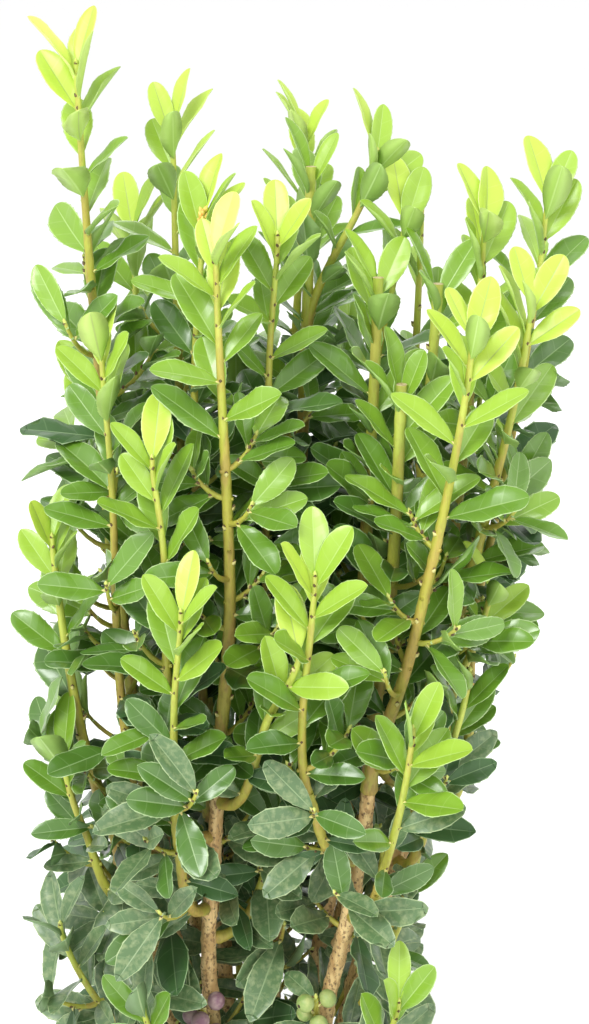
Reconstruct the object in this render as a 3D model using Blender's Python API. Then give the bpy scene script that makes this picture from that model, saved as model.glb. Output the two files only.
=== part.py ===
"""A young columnar holly, whole and rooted: a short trunk, upright boughs and leafy shoots.

The frame is +Z up in metres, with the origin at the centre of the trunk's flat cut at ground
level and +Y pointing away from the plant's front. Places in the tables are in millimetres.
"""

import math
from dataclasses import dataclass

import bmesh
import bpy
import numpy as np
from mathutils import Vector
from mathutils.bvhtree import BVHTree

MM = 0.001
SEED = 20
GAP = 0.3 * MM  # left between two solids that meet
SIDE_GAP = 0.45 * MM  # the same, measured from the axis of a faceted limb that a side limb leaves

# The trunk: a flared foot, a waist and a domed head that the boughs leave from.
TRUNK_SIDES = 14
TRUNK_FOOT_RADIUS = 17.0 * MM
TRUNK_WAIST_RADIUS = 10.0 * MM
TRUNK_HEAD_HEIGHT = 24.0 * MM  # height of the dome's centre
TRUNK_FLARE_RINGS = 4
TRUNK_DOME_RINGS = 4
TRUNK_RIBS = 4  # the root flare runs out into blunt ribs
TRUNK_RIB_DEPTH = 0.35  # of the flare
TRUNK_RIB_TURN = 0.6  # radians
SHARP_ANGLE = math.radians(50.0)

# Boughs, shoots and twigs, by radius.
BOUGH_ROOT_RADIUS = 3.1 * MM
BOUGH_TIP_RADIUS = 2.4 * MM
BOUGH_SIDES = 7
BOUGH_RING_STEP = 25.0 * MM
SIDE_SHOOT_RADIUS = 1.9 * MM
SHOOT_TIP_RADIUS = 0.8 * MM
CUT_TIP_RADIUS = 1.7 * MM
SEGMENT_POINTS = 24  # on a smooth path, from one knot to the next
DIRECTION_REACH = 0.5 * MM  # on each side of the place where a path's direction is taken
FORK_SHARE = 0.72  # how far up a shoot its fork is
FORK_THINNING = 0.9
TWIG_SIDES = 3
TWIG_RING_STEP = 34.0 * MM
SIDE_TWIG_RADIUS = 1.1 * MM
SIDE_TWIG_LENGTH = 30.0 * MM
SIDE_TWIG_SPAN = (0.12, 0.72)  # shares of the shoot between which its side twigs stand
SIDE_TWIG_RISE = 0.7  # upward part of a side twig's way, beside an outward part of 1

# How far the crown reaches to the left and right of its axis, by height, in millimetres.
CROWN_HEIGHTS = (60, 110, 140, 165, 210, 255, 325, 425)
CROWN_LEFT = (84, 84, 83, 83, 86, 92, 78, 84)
CROWN_RIGHT = (67, 62, 65, 80, 94, 99, 106, 110)

# Leaves. The ones at a shoot's tip are small and steep, and the ones at its foot large and level.
LEAF_STEP = 12.4 * MM  # along the stem, from one leaf to the next
LEAF_TURN = math.radians(137.5)
LEAF_OUTLINE = ((0.0, 0.0), (0.33, 0.8), (0.72, 0.92), (1.0, 0.0), (0.72, -0.92), (0.33, -0.8))
LEAF_MIDDLE = 0.45
LEAF_WIDTH_SHARE = 0.46
LEAF_THICKNESS = 0.7 * MM
LEAF_CURL = 0.14  # how far the blade bends back, as a share of its length
LEAF_FOLD = 0.22  # how far the blade's sides rise from its midrib, as a share of half its width
LEAF_CLEARANCE = 0.4 * MM  # kept to everything outside its own mass
OWN_ROOT_REACH = 5.0 * MM  # the foot of a blade, which may touch its own mass
YOUNG_LEAF_LENGTH = 23.0 * MM
OLD_LEAF_LENGTH = 31.5 * MM
DEEP_LEAF_SHARE = 1.08  # leaves of the shaded masses are larger by this
YOUNG_LEAF_ANGLE = math.radians(11.0)  # between the blade and the stem
OLD_LEAF_ANGLE = math.radians(62.0)
AGE_LENGTH = 135.0 * MM  # distance from the tip over which a leaf grows old
AGE_POWER = 0.6
AGE_JITTER = 0.1
TURN_JITTER = 0.25
TIP_TURN_JITTER = 0.6
LENGTH_JITTER = 0.09
TIP_INSET = 1.0 * MM  # how far below the stem's end the last leaf is rooted
FEWEST_LEAVES = 3
LOWEST_LEAF = 6.0 * MM
LIGHT_PULL = 0.9  # how strongly a blade rolls over to face the light
LIGHT_RISE = 0.6
SUNNY_SIDE = np.array([0.0, -1.0, 0.0])  # the light has mostly come from the front
TRY_TURNS = (0.0, 0.45, -0.45, 0.9, -0.9)  # radians tried round the stem before a leaf is skipped

BERRY_RADIUS = 3.3 * MM
BERRY_SEGMENTS = 6
BERRY_RINGS = 4
BERRY_STALK = 5.0 * MM
BERRY_STALK_RADIUS = 0.7 * MM
BERRY_FIRST_SHARE = 0.45  # how far up a spur its fruit begins


@dataclass(frozen=True)
class Bough:
    """A bare, woody limb. It leaves the trunk, or another bough at a height, and ends at its tip."""

    name: str
    on: str
    tip: tuple
    through: tuple = ()
    azimuth: float = 0.0  # degrees round the trunk's head, counted from +X towards +Y
    tilt: float = 60.0  # degrees from upright, on the trunk's head
    height: float = 0.0  # mm, where it leaves another bough


@dataclass(frozen=True)
class Shoot:
    """A leafy stem: one mass of foliage. It carries on from a bough's tip, or leaves its side."""

    name: str
    on: str
    tip: tuple
    through: tuple = ()
    height: float = 0.0  # mm up the bough, or 0 to carry on from its tip
    azimuth: float = 0.0
    tilt: float = 70.0
    tone: str = "mid"
    cut: bool = False  # pruned: its stem ends in a flat cut
    twigs: int = 0  # short side twigs
    fork: tuple = ()  # the tip of a second stem that leaves this one part of the way up
    berries: int = 0
    bare: float = 6.0  # mm of the stem's foot without leaves


BOUGHS = (
    Bough("left_bough", "trunk", (-17, -16, 165), ((-21, -11, 84),), 215, 62),
    Bough("right_bough", "trunk", (35, -22, 164), ((23, -11, 84),), 322, 62),
    Bough("far_left_bough", "trunk", (-42, 3, 136), ((-31, 3, 82),), 178, 64),
    Bough("right_side_bough", "trunk", (51, -1, 160), ((34, 1, 88),), 4, 64),
    Bough("back_left_bough", "trunk", (-20, 17, 150), ((-17, 16, 90),), 138, 60),
    Bough("centre_bough", "trunk", (8, 14, 160), ((2, 6, 90),), 80, 8),
    Bough("mid_right_bough", "trunk", (29, 9, 150), ((19, 12, 88),), 44, 60),
    Bough("rear_bough", "trunk", (4, 46, 150), ((3, 30, 86),), 92, 66),
    Bough("low_left_bough", "far_left_bough", (-52, -4, 128), ((-43, -2, 95),), height=62),
    Bough("centre_right_bough", "right_bough", (36, -3, 168), ((33, -4, 125),), height=98),
    Bough("right_back_bough", "right_side_bough", (56, 14, 158), ((47, 12, 118),), height=92),
    Bough("rear_left_bough", "back_left_bough", (-44, 40, 156), ((-34, 34, 112),), height=76),
    Bough("rear_right_bough", "mid_right_bough", (40, 42, 156), ((32, 34, 112),), height=76),
)

FORK_TIP = (37, 17, 375)


def low_shoot(name, on, tip, through, height, twigs):
    """A shaded shoot that leaves a bough's side and bears side twigs."""
    return Shoot(name, on, tip, (through,), height, tone="deep", twigs=twigs)


def foot_shoot(name, tip, through, azimuth):
    """A low, shaded shoot that sets off nearly level from the trunk and bears side twigs."""
    return Shoot(name, "trunk", tip, (through,), azimuth=azimuth, tilt=92, tone="deep", twigs=3)


def berry_spur(name, on, tip, height, berries):
    """A short shoot low on a bough, with fruit between its leaves."""
    return Shoot(name, on, tip, (), height, tone="deep", twigs=2, berries=berries, bare=2)


SHOOTS = (
    Shoot("left_main_shoot", "left_bough", (-15, -32, 350), ((-12, -22, 234),), tone="fresh"),
    Shoot("right_main_shoot", "right_bough", (65, -40, 325), ((49, -30, 222),), tone="fresh"),
    Shoot("front_left_shoot", "left_bough", (-27, -46, 236), ((-30, -34, 150), (-30, -42, 202)), 116),
    Shoot("front_centre_shoot", "right_bough", (16, -50, 250), ((15, -36, 167), (12, -44, 198)), 137),
    Shoot("front_right_shoot", "right_bough", (48, -50, 198), ((41, -36, 146),), 115),
    Shoot("inner_left_shoot", "left_bough", (-36, -34, 284), ((-32, -29, 200), (-33, -32, 252)), 144),
    Shoot("middle_shoot", "left_bough", (11, -50, 224), ((1, -38, 198),), 158, bare=12),
    low_shoot("hidden_shoot", "left_bough", (11, -7, 167), (5, -7, 149), 102, 3),
    Shoot("centre_right_shoot", "centre_right_bough", (44, -21, 307), ((42, -12, 232),), cut=True),
    Shoot("tall_left_shoot", "far_left_bough", (-60, 0, 405), ((-52, 5, 239),), tone="fresh"),
    Shoot("outer_left_shoot", "far_left_bough", (-53, -16, 316), ((-50, -10, 190), (-51, -14, 269)), 128),
    Shoot("low_left_shoot", "low_left_bough", (-72, -10, 250), ((-64, -8, 177),)),
    Shoot("left_edge_shoot", "low_left_bough", (-70, -17, 172), ((-64, -13, 145),), 118, tone="deep"),
    Shoot("back_left_shoot", "back_left_bough", (-31, 22, 383), ((-29, 22, 255),), tone="fresh"),
    Shoot("upper_left_shoot", "back_left_bough", (-20, -6, 358), ((-23, 6, 200), (-24, 2, 300)), 138),
    Shoot("centre_shoot", "centre_bough", (15, 25, 371), ((11, 21, 240),), cut=True, fork=FORK_TIP),
    Shoot("centre_left_shoot", "centre_bough", (4, -5, 351), ((0, 2, 220), (1, 0, 306)), 146),
    Shoot("mid_right_shoot", "mid_right_bough", (37, 0, 338), ((34, 2, 250),), cut=True),
    Shoot("mid_back_shoot", "mid_right_bough", (46, 12, 354), ((33, 17, 220), (37, 16, 300)), 138),
    Shoot("right_cut_shoot", "right_back_bough", (57, 5, 335), ((53, 7, 260),), 150, cut=True),
    Shoot("right_upper_shoot", "right_back_bough", (72, 6, 354), ((67, 10, 270),), tone="fresh"),
    Shoot("right_top_shoot", "right_back_bough", (93, 12, 361), ((74, 17, 220), (86, 13, 294)), 138),
    Shoot("right_side_shoot", "right_side_bough", (86, -14, 331), ((70, -6, 240),), tone="fresh"),
    Shoot("right_edge_shoot", "right_side_bough", (76, -11, 233), ((64, -4, 190),), 148),
    Shoot("right_mid_shoot", "right_side_bough", (69, -18, 205), ((60, -12, 165),), 128, tone="deep"),
    low_shoot("right_low_shoot", "right_side_bough", (59, -8, 166), (54, -5, 134), 104, 1),
    low_shoot("right_foot_shoot", "right_side_bough", (50, -14, 122), (43, -9, 96), 72, 3),
    Shoot("rear_left_shoot", "rear_left_bough", (-47, 50, 346), ((-45, 48, 250),), tone="fresh"),
    Shoot("rear_left_side_shoot", "rear_left_bough", (-60, 31, 292), ((-54, 35, 200),), 146),
    Shoot("rear_left_inner_shoot", "rear_left_bough", (-30, 62, 316), ((-34, 54, 220),), 138),
    Shoot("rear_shoot", "rear_bough", (13, 58, 379), ((7, 54, 250),), tone="fresh"),
    Shoot("rear_side_shoot", "rear_bough", (-12, 70, 286), ((-8, 64, 210),), 140),
    Shoot("rear_inner_shoot", "rear_bough", (28, 72, 306), ((18, 62, 210),), 128),
    Shoot("rear_right_shoot", "rear_right_bough", (54, 50, 352), ((50, 46, 250),), tone="fresh"),
    Shoot("rear_right_side_shoot", "rear_right_bough", (76, 38, 300), ((64, 38, 210),), 146),
    Shoot("rear_right_low_shoot", "rear_right_bough", (62, 62, 236), ((54, 54, 185),), 134),
    foot_shoot("left_foot_shoot", (-72, -27, 114), (-50, -18, 66), 196),
    foot_shoot("front_left_foot_shoot", (-42, -49, 95), (-29, -35, 60), 236),
    foot_shoot("front_right_foot_shoot", (45, -48, 96), (29, -36, 56), 302),
    foot_shoot("rear_left_foot_shoot", (-58, 34, 120), (-38, 22, 66), 158),
    foot_shoot("rear_foot_shoot", (-16, 60, 116), (-12, 40, 62), 114),
    foot_shoot("rear_right_foot_shoot", (44, 36, 118), (32, 23, 66), 30),
    berry_spur("left_berry_spur", "left_bough", (-23, -28, 85), 66, 4),
    berry_spur("right_berry_spur", "right_bough", (17, -30, 87), 66, 5),
)


def unit(vector):
    """The vector at length 1."""
    return vector / np.linalg.norm(vector)


def millimetres(point):
    """A table's point as an array in metres."""
    return np.array(point, float) * MM


class Stem:
    """A tapering stem along a smooth path through its knots, which turns upright at its tip."""

    def __init__(self, knots, start_direction, root_radius, tip_radius, step):
        knots = [np.asarray(knot, float) for knot in knots]
        slopes = [unit(start_direction) * np.linalg.norm(knots[1] - knots[0])]
        for before, after in zip(knots, knots[2:]):
            slopes.append((after - before) / 2)
        last = knots[-1] - knots[-2]
        upright = np.array([0.0, 0.0, np.linalg.norm(last)])
        slopes.append((last + upright) / 2)
        self.fine = np.concatenate(
            [
                self.segment(knots[i], knots[i + 1], slopes[i], slopes[i + 1])
                for i in range(len(knots) - 1)
            ]
        )
        lengths = np.linalg.norm(np.diff(self.fine, axis=0), axis=1)
        self.along = np.concatenate([[0.0], np.cumsum(lengths)])
        self.length = self.along[-1]
        self.root_radius = root_radius
        self.tip_radius = tip_radius
        rings = max(3, round(self.length / step) + 1)
        self.distances = np.linspace(0.0, self.length, rings)
        self.spine = np.array([self.on_curve(distance) for distance in self.distances])

    @staticmethod
    def segment(start, end, start_slope, end_slope):
        """Points of one Hermite segment."""
        t = np.linspace(0.0, 1.0, SEGMENT_POINTS)[:, None]
        return (
            (2 * t**3 - 3 * t**2 + 1) * start
            + (t**3 - 2 * t**2 + t) * start_slope
            + (3 * t**2 - 2 * t**3) * end
            + (t**3 - t**2) * end_slope
        )

    def on_curve(self, distance):
        """The place on the smooth path at this distance from the root."""
        return np.array([np.interp(distance, self.along, self.fine[:, axis]) for axis in range(3)])

    def point(self, distance):
        """The place on the middle of the faceted stem, whose rings have straight lines between them."""
        return np.array([np.interp(distance, self.distances, self.spine[:, axis]) for axis in range(3)])

    def direction(self, distance):
        """The way the stem points there."""
        start = self.on_curve(max(0.0, distance - DIRECTION_REACH))
        return unit(self.on_curve(min(self.length, distance + DIRECTION_REACH)) - start)

    def radius(self, distance):
        """The stem's radius there."""
        return np.interp(distance, [0.0, self.length], [self.root_radius, self.tip_radius])

    def distance_at_height(self, height):
        """Where the stem, which rises all the way, reaches this height."""
        return float(np.interp(height, self.fine[:, 2], self.along))


def across(direction):
    """Two unit vectors square to a direction and to each other, the first one level."""
    level = unit(np.cross([0.0, 0.0, 1.0], direction) + np.array([1e-6, 0.0, 0.0]))
    return level, np.cross(direction, level)


def tube(stem, sides):
    """The points and faces of a stem's skin, closed at both ends."""
    points = []
    side, _ = across(stem.direction(0.0))
    for distance in stem.distances:
        direction = stem.direction(distance)
        side = unit(side - direction * (side @ direction))
        other = np.cross(direction, side)
        for k in range(sides):
            turn = 2 * math.pi * k / sides
            ray = math.cos(turn) * side + math.sin(turn) * other
            points.append(stem.point(distance) + stem.radius(distance) * ray)
    faces = [tuple(reversed(range(sides)))]
    for ring in range(len(stem.distances) - 1):
        for k in range(sides):
            low, high = ring * sides, (ring + 1) * sides
            following = (k + 1) % sides
            faces.append((low + k, low + following, high + following, high + k))
    top = len(points) - sides
    faces.append(tuple(range(top, top + sides)))
    return np.array(points), faces


@dataclass(frozen=True)
class Leaf:
    """A blade: where it is rooted, the way it points, its upper side, and its size."""

    root: np.ndarray
    direction: np.ndarray
    upper: np.ndarray
    length: float

    def solid(self, extra=0.0):
        """The leaf's points and faces: six round its outline, one on its back and one on its face.

        extra is added on every side, for testing what comes near.
        """
        length = self.length
        half = length * LEAF_WIDTH_SHARE / 2
        side = np.cross(self.direction, self.upper)
        points = []
        for share, width in LEAF_OUTLINE:
            rise = LEAF_FOLD * abs(width) * half - LEAF_CURL * length * share**2
            along = share * (length + extra) if share else -extra
            points.append(
                self.root
                + self.direction * along
                + side * width * (half + extra)
                + self.upper * rise
            )
        middle = self.root + self.direction * LEAF_MIDDLE * length
        dip = -LEAF_CURL * length * LEAF_MIDDLE**2
        for way in (-1.0, 1.0):
            points.append(middle + self.upper * (dip + way * (LEAF_THICKNESS / 2 + extra)))
        faces = []
        for k in range(6):
            following = (k + 1) % 6
            faces.append((following, k, 6))
            faces.append((k, following, 7))
        return np.array(points), faces


class Room:
    """Everything placed so far, so that each mass keeps to its own space."""

    def __init__(self):
        self.lows = np.zeros((0, 3))
        self.highs = np.zeros((0, 3))
        self.trees = []
        self.owners = []

    def add(self, owner, points, faces):
        """Puts a solid into the room."""
        self.lows = np.vstack([self.lows, points.min(axis=0)])
        self.highs = np.vstack([self.highs, points.max(axis=0)])
        self.trees.append(self.tree(points, faces))
        self.owners.append(owner)

    @staticmethod
    def tree(points, faces):
        """A search tree of a solid's faces."""
        return BVHTree.FromPolygons([Vector(point) for point in points], faces)

    def is_free(self, owner, points, faces, of_own=False):
        """Whether a solid touches nothing that other owners, or its own one, have placed."""
        near = np.all((self.lows < points.max(axis=0)) & (self.highs > points.min(axis=0)), axis=1)
        found = [i for i in np.flatnonzero(near) if (self.owners[i] == owner) == of_own]
        if not found:
            return True
        tree = self.tree(points, faces)
        return not any(tree.overlap(self.trees[i]) for i in found)


def light_at(point):
    """Where a leaf's upper side turns: up, out from the crown's middle, and to its sunny front."""
    outward = unit(np.array([point[0], point[1], 0.0]) + MM * SUNNY_SIDE)
    return unit(outward + SUNNY_SIDE + np.array([0.0, 0.0, LIGHT_RISE]))


def leaf_on(stem, distance, turn, age, length_share):
    """The leaf that grows at a distance along a stem, turned round it, at an age from 0 to 1."""
    direction = stem.direction(distance)
    side, other = across(direction)
    ray = math.cos(turn) * side + math.sin(turn) * other
    angle = YOUNG_LEAF_ANGLE + (OLD_LEAF_ANGLE - YOUNG_LEAF_ANGLE) * age
    length = YOUNG_LEAF_LENGTH + (OLD_LEAF_LENGTH - YOUNG_LEAF_LENGTH) * age
    blade = math.cos(angle) * direction + math.sin(angle) * ray
    upper = math.sin(angle) * direction - math.cos(angle) * ray
    light = light_at(stem.point(distance))
    return Leaf(
        root=stem.point(distance),
        direction=blade,
        upper=unit(upper + LIGHT_PULL * (light - blade * (light @ blade))),
        length=length * length_share,
    )


def shaded_turn(stem):
    """The turn round a stem's end that points away from the light, so that a leaf shows its face."""
    side, other = across(stem.direction(stem.length))
    light = light_at(stem.point(stem.length))
    return math.atan2(-light @ other, -light @ side)


def dress(stem, owner, bare, rng, room, reach=1.0):
    """The solids of the leaves along a stem, spiralling to its tip. One with no room is skipped."""
    solids = []
    leafy = stem.length - bare - TIP_INSET
    count = max(FEWEST_LEAVES, int(leafy / LEAF_STEP) + 1)
    step = min(LEAF_STEP, leafy / (count - 1))
    start_turn = shaded_turn(stem) + rng.uniform(-TIP_TURN_JITTER, TIP_TURN_JITTER)
    draws = rng.uniform(-1.0, 1.0, (count, 3))
    for i in range(count):
        from_tip = TIP_INSET + i * step
        age = min(1.0, from_tip / AGE_LENGTH) ** AGE_POWER
        age = min(1.0, max(0.0, age + AGE_JITTER * draws[i, 0] * min(i, 1)))
        share = reach * (1.0 + LENGTH_JITTER * draws[i, 1])
        for attempt in TRY_TURNS:
            turn = start_turn - i * LEAF_TURN + TURN_JITTER * draws[i, 2] + attempt
            leaf = leaf_on(stem, stem.length - from_tip, turn, age, share)
            if has_room(leaf, owner, room):
                points, faces = leaf.solid()
                room.add(owner, points, faces)
                solids.append((points, faces))
                break
    return solids


def inside_crown(point):
    """Whether a place lies between the crown's two sides at its height."""
    height = point[2] / MM
    left = np.interp(height, CROWN_HEIGHTS, CROWN_LEFT)
    right = np.interp(height, CROWN_HEIGHTS, CROWN_RIGHT)
    return -left < point[0] / MM < right


def has_room(leaf, owner, room):
    """Whether a leaf stays above ground, in the crown, clear of others and, past its foot, of its own."""
    points, faces = leaf.solid(LEAF_CLEARANCE)
    outer = points + leaf.direction * OWN_ROOT_REACH
    if points[:, 2].min() < LOWEST_LEAF or not inside_crown(leaf.root + leaf.direction * leaf.length):
        return False
    return room.is_free(owner, points, faces) and room.is_free(owner, outer, faces, of_own=True)


def side_twigs(shoot, stem, rng, room):
    """Short twigs that leave a shoot's stem in a spiral. One with no room is skipped."""
    twigs = []
    first, last = SIDE_TWIG_SPAN
    start_turn = rng.uniform(0.0, 2 * math.pi)
    for k in range(shoot.twigs):
        distance = stem.length * (first + (last - first) * (k + 0.5) / shoot.twigs)
        side, other = across(stem.direction(distance))
        turn = start_turn + k * LEAF_TURN
        ray = math.cos(turn) * side + math.sin(turn) * other
        root = stem.point(distance)
        way = unit(ray + np.array([0.0, 0.0, SIDE_TWIG_RISE]))
        knots = [root, root + way * SIDE_TWIG_LENGTH]
        twig = Stem(knots, ray, SIDE_TWIG_RADIUS, SHOOT_TIP_RADIUS, TWIG_RING_STEP)
        points, faces = tube(twig, TWIG_SIDES)
        if points[:, 2].min() > LOWEST_LEAF and room.is_free(shoot.name, points, faces):
            room.add(shoot.name, points, faces)
            twigs.append(twig)
    return twigs


def berry(centre):
    """A round fruit as a faceted ball."""
    mesh = bmesh.new()
    bmesh.ops.create_uvsphere(
        mesh, u_segments=BERRY_SEGMENTS, v_segments=BERRY_RINGS, radius=BERRY_RADIUS
    )
    points = np.array([vertex.co for vertex in mesh.verts]) + centre
    faces = [tuple(vertex.index for vertex in face.verts) for face in mesh.faces]
    mesh.free()
    return points, faces


def berries_on(stem, owner, count, rng, room):
    """Short-stalked fruit round the outer half of a spur."""
    solids = []
    for k in range(count):
        share = BERRY_FIRST_SHARE + (1.0 - BERRY_FIRST_SHARE) * k / max(1, count - 1)
        distance = stem.length * share
        side, other = across(stem.direction(distance))
        turn = LEAF_TURN * k + TURN_JITTER * rng.uniform(-1.0, 1.0)
        ray = math.cos(turn) * side + math.sin(turn) * other
        root = stem.point(distance)
        centre = root + ray * BERRY_STALK
        ball = berry(centre)
        if room.is_free(owner, *ball):
            radius = BERRY_STALK_RADIUS
            stalk = Stem([root, centre], ray, radius, radius, BERRY_STALK)
            room.add(owner, *ball)
            solids += [ball, tube(stalk, TWIG_SIDES)]
    return solids


def principled(name, colour, roughness):
    """A plain material, made once."""
    material = bpy.data.materials.get(name) or bpy.data.materials.new(name)
    material.use_nodes = True
    shader = material.node_tree.nodes["Principled BSDF"]
    shader.inputs["Base Color"].default_value = (*colour, 1.0)
    shader.inputs["Roughness"].default_value = roughness
    return material


def bark():
    """Tan, slightly rough young bark."""
    return principled("bark", (0.40, 0.25, 0.10), 0.7)


def foliage(tone):
    """Leaves of one tone: deep in the shade at the foot, mid above, fresh where they grow most."""
    colours = {"deep": (0.05, 0.14, 0.04), "mid": (0.09, 0.25, 0.05), "fresh": (0.20, 0.42, 0.07)}
    return principled("leaves_" + tone, colours[tone], 0.4)


def solid_object(name, points, faces, material):
    """A mesh object in the scene."""
    mesh = bpy.data.meshes.new(name)
    mesh.from_pydata([tuple(point) for point in points], [], faces)
    mesh.materials.append(material)
    made = bpy.data.objects.new(name, mesh)
    bpy.context.scene.collection.objects.link(made)
    return made


def keep_largest_shell(made):
    """Drops loose scraps, and fills sealed hollows by dropping their walls."""
    work = bmesh.new()
    work.from_mesh(made.data)
    unseen = set(work.verts)
    shells = []
    while unseen:
        shell = set()
        edge_of = [unseen.pop()]
        while edge_of:
            vertex = edge_of.pop()
            shell.add(vertex)
            for edge in vertex.link_edges:
                other = edge.other_vert(vertex)
                if other in unseen:
                    unseen.discard(other)
                    edge_of.append(other)
        shells.append(shell)
    largest = max(shells, key=len)
    for shell in shells:
        if shell is not largest:
            bmesh.ops.delete(work, geom=list(shell), context="VERTS")
    bmesh.ops.triangulate(work, faces=work.faces)
    work.to_mesh(made.data)
    work.free()


def fused(name, body, extras, material):
    """One solid made of a body and everything fused to it."""
    made = solid_object(name, *body, material)
    group = bpy.data.collections.new(name + "_pieces")
    for k, (points, faces) in enumerate(extras):
        piece = solid_object(f"{name}_piece_{k}", points, faces, material)
        bpy.context.scene.collection.objects.unlink(piece)
        group.objects.link(piece)
    join = made.modifiers.new("join", "BOOLEAN")
    join.operation = "UNION"
    join.operand_type = "COLLECTION"
    join.collection = group
    join.solver = "MANIFOLD"
    graph = bpy.context.evaluated_depsgraph_get()
    made.data = bpy.data.meshes.new_from_object(made.evaluated_get(graph))
    made.modifiers.clear()
    for piece in list(group.objects):
        bpy.data.objects.remove(piece)
    bpy.data.collections.remove(group)
    keep_largest_shell(made)
    return made


def trunk_solid():
    """The trunk's points and faces: rings from the flat cut at the ground to the dome's top."""
    rings = []
    for k in range(TRUNK_FLARE_RINGS + 1):
        share = k / TRUNK_FLARE_RINGS
        flare = (TRUNK_FOOT_RADIUS - TRUNK_WAIST_RADIUS) * (1.0 - share) ** 2
        rings.append((TRUNK_WAIST_RADIUS + flare, TRUNK_HEAD_HEIGHT * share))
    for k in range(1, TRUNK_DOME_RINGS):
        tilt = 0.5 * math.pi * k / TRUNK_DOME_RINGS
        height = TRUNK_HEAD_HEIGHT + TRUNK_WAIST_RADIUS * math.sin(tilt)
        rings.append((TRUNK_WAIST_RADIUS * math.cos(tilt), height))
    points = []
    for index, (radius, height) in enumerate(rings):
        spread = max(0.0, radius - TRUNK_WAIST_RADIUS) * (1.0 - index / len(rings))
        for k in range(TRUNK_SIDES):
            turn = 2 * math.pi * k / TRUNK_SIDES
            rib = radius + TRUNK_RIB_DEPTH * spread * math.cos(TRUNK_RIBS * turn + TRUNK_RIB_TURN)
            points.append((rib * math.cos(turn), rib * math.sin(turn), height))
    points.append((0.0, 0.0, TRUNK_HEAD_HEIGHT + TRUNK_WAIST_RADIUS))
    faces = [tuple(reversed(range(TRUNK_SIDES)))]
    for ring in range(len(rings) - 1):
        for k in range(TRUNK_SIDES):
            low, high = ring * TRUNK_SIDES, (ring + 1) * TRUNK_SIDES
            following = (k + 1) % TRUNK_SIDES
            faces.append((low + k, low + following, high + following, high + k))
    top = (len(rings) - 1) * TRUNK_SIDES
    for k in range(TRUNK_SIDES):
        faces.append((top + k, top + (k + 1) % TRUNK_SIDES, len(points) - 1))
    return np.array(points), faces


def root_of(limb, stems):
    """Where a bough or shoot starts, just clear of what carries it, and the way it sets off."""
    if limb.on == "trunk":
        azimuth, tilt = math.radians(limb.azimuth), math.radians(limb.tilt)
        level = np.array([math.cos(azimuth), math.sin(azimuth), 0.0])
        ray = math.sin(tilt) * level + math.cos(tilt) * np.array([0.0, 0.0, 1.0])
        centre = np.array([0.0, 0.0, TRUNK_HEAD_HEIGHT])
        return centre + ray * (TRUNK_WAIST_RADIUS + GAP), ray
    carrier = stems[limb.on]
    if not limb.height:
        direction = carrier.direction(carrier.length)
        return carrier.point(carrier.length) + direction * GAP, direction
    distance = carrier.distance_at_height(limb.height * MM)
    direction = carrier.direction(distance)
    target = millimetres((*limb.through, limb.tip)[0]) - carrier.point(distance)
    ray = unit(target - direction * (target @ direction))
    return carrier.point(distance) + ray * (carrier.radius(distance) + SIDE_GAP), ray


def limb_stem(limb, stems, root_radius, tip_radius, step):
    """The stem of a bough or a shoot."""
    root, direction = root_of(limb, stems)
    knots = [root, *map(millimetres, limb.through), millimetres(limb.tip)]
    return Stem(knots, direction, root_radius, tip_radius, step)


def shoot_root_radius(shoot, stems):
    """A shoot that carries on from a bough's tip is as thick as the tip, and others are thinner."""
    if shoot.on != "trunk" and not shoot.height:
        return stems[shoot.on].tip_radius
    return SIDE_SHOOT_RADIUS


def build_trunk(room):
    """The short trunk."""
    points, faces = trunk_solid()
    made = solid_object("trunk", points, faces, bark())
    made.data.shade_smooth()
    made.data.set_sharp_from_angle(angle=SHARP_ANGLE)
    room.add("trunk", points, faces)


def build_boughs(room):
    """The bare limbs, and their stems by name."""
    stems = {}
    for bough in BOUGHS:
        root_radius = BOUGH_ROOT_RADIUS if bough.on == "trunk" else BOUGH_TIP_RADIUS
        stem = limb_stem(bough, stems, root_radius, BOUGH_TIP_RADIUS, BOUGH_RING_STEP)
        stems[bough.name] = stem
        points, faces = tube(stem, BOUGH_SIDES)
        solid_object(bough.name, points, faces, bark()).data.shade_smooth()
        room.add(bough.name, points, faces)
    return stems


def fork_stem(shoot, stem):
    """The second stem of a shoot that forks."""
    distance = FORK_SHARE * stem.length
    knots = [stem.point(distance), millimetres(shoot.fork)]
    root_radius = FORK_THINNING * stem.radius(distance)
    return Stem(knots, stem.direction(distance), root_radius, SHOOT_TIP_RADIUS, TWIG_RING_STEP)


def shoot_stems(shoot, stems):
    """A shoot's stem, and after it the one of its fork."""
    tip_radius = CUT_TIP_RADIUS if shoot.cut else SHOOT_TIP_RADIUS
    root_radius = shoot_root_radius(shoot, stems)
    stem = limb_stem(shoot, stems, root_radius, tip_radius, TWIG_RING_STEP)
    return [stem, fork_stem(shoot, stem)] if shoot.fork else [stem]


def build_shoots(room, stems):
    """The masses of foliage. Every stem and twig comes first, so that leaves keep clear of them."""
    plan = []
    for index, shoot in enumerate(SHOOTS):
        own = shoot_stems(shoot, stems)
        plan.append((shoot, own, np.random.default_rng([SEED, index])))
        for stem in own:
            room.add(shoot.name, *tube(stem, TWIG_SIDES))
    for shoot, own, rng in plan:
        own += side_twigs(shoot, own[0], rng, room)
    for shoot, own, rng in plan:
        extras = [tube(stem, TWIG_SIDES) for stem in own[1:]]
        extras += berries_on(own[0], shoot.name, shoot.berries, rng, room)
        reach = DEEP_LEAF_SHARE if shoot.tone == "deep" else 1.0
        for stem in own:
            extras += dress(stem, shoot.name, shoot.bare * MM, rng, room, reach)
        fused(shoot.name, tube(own[0], TWIG_SIDES), extras, foliage(shoot.tone))


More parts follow.
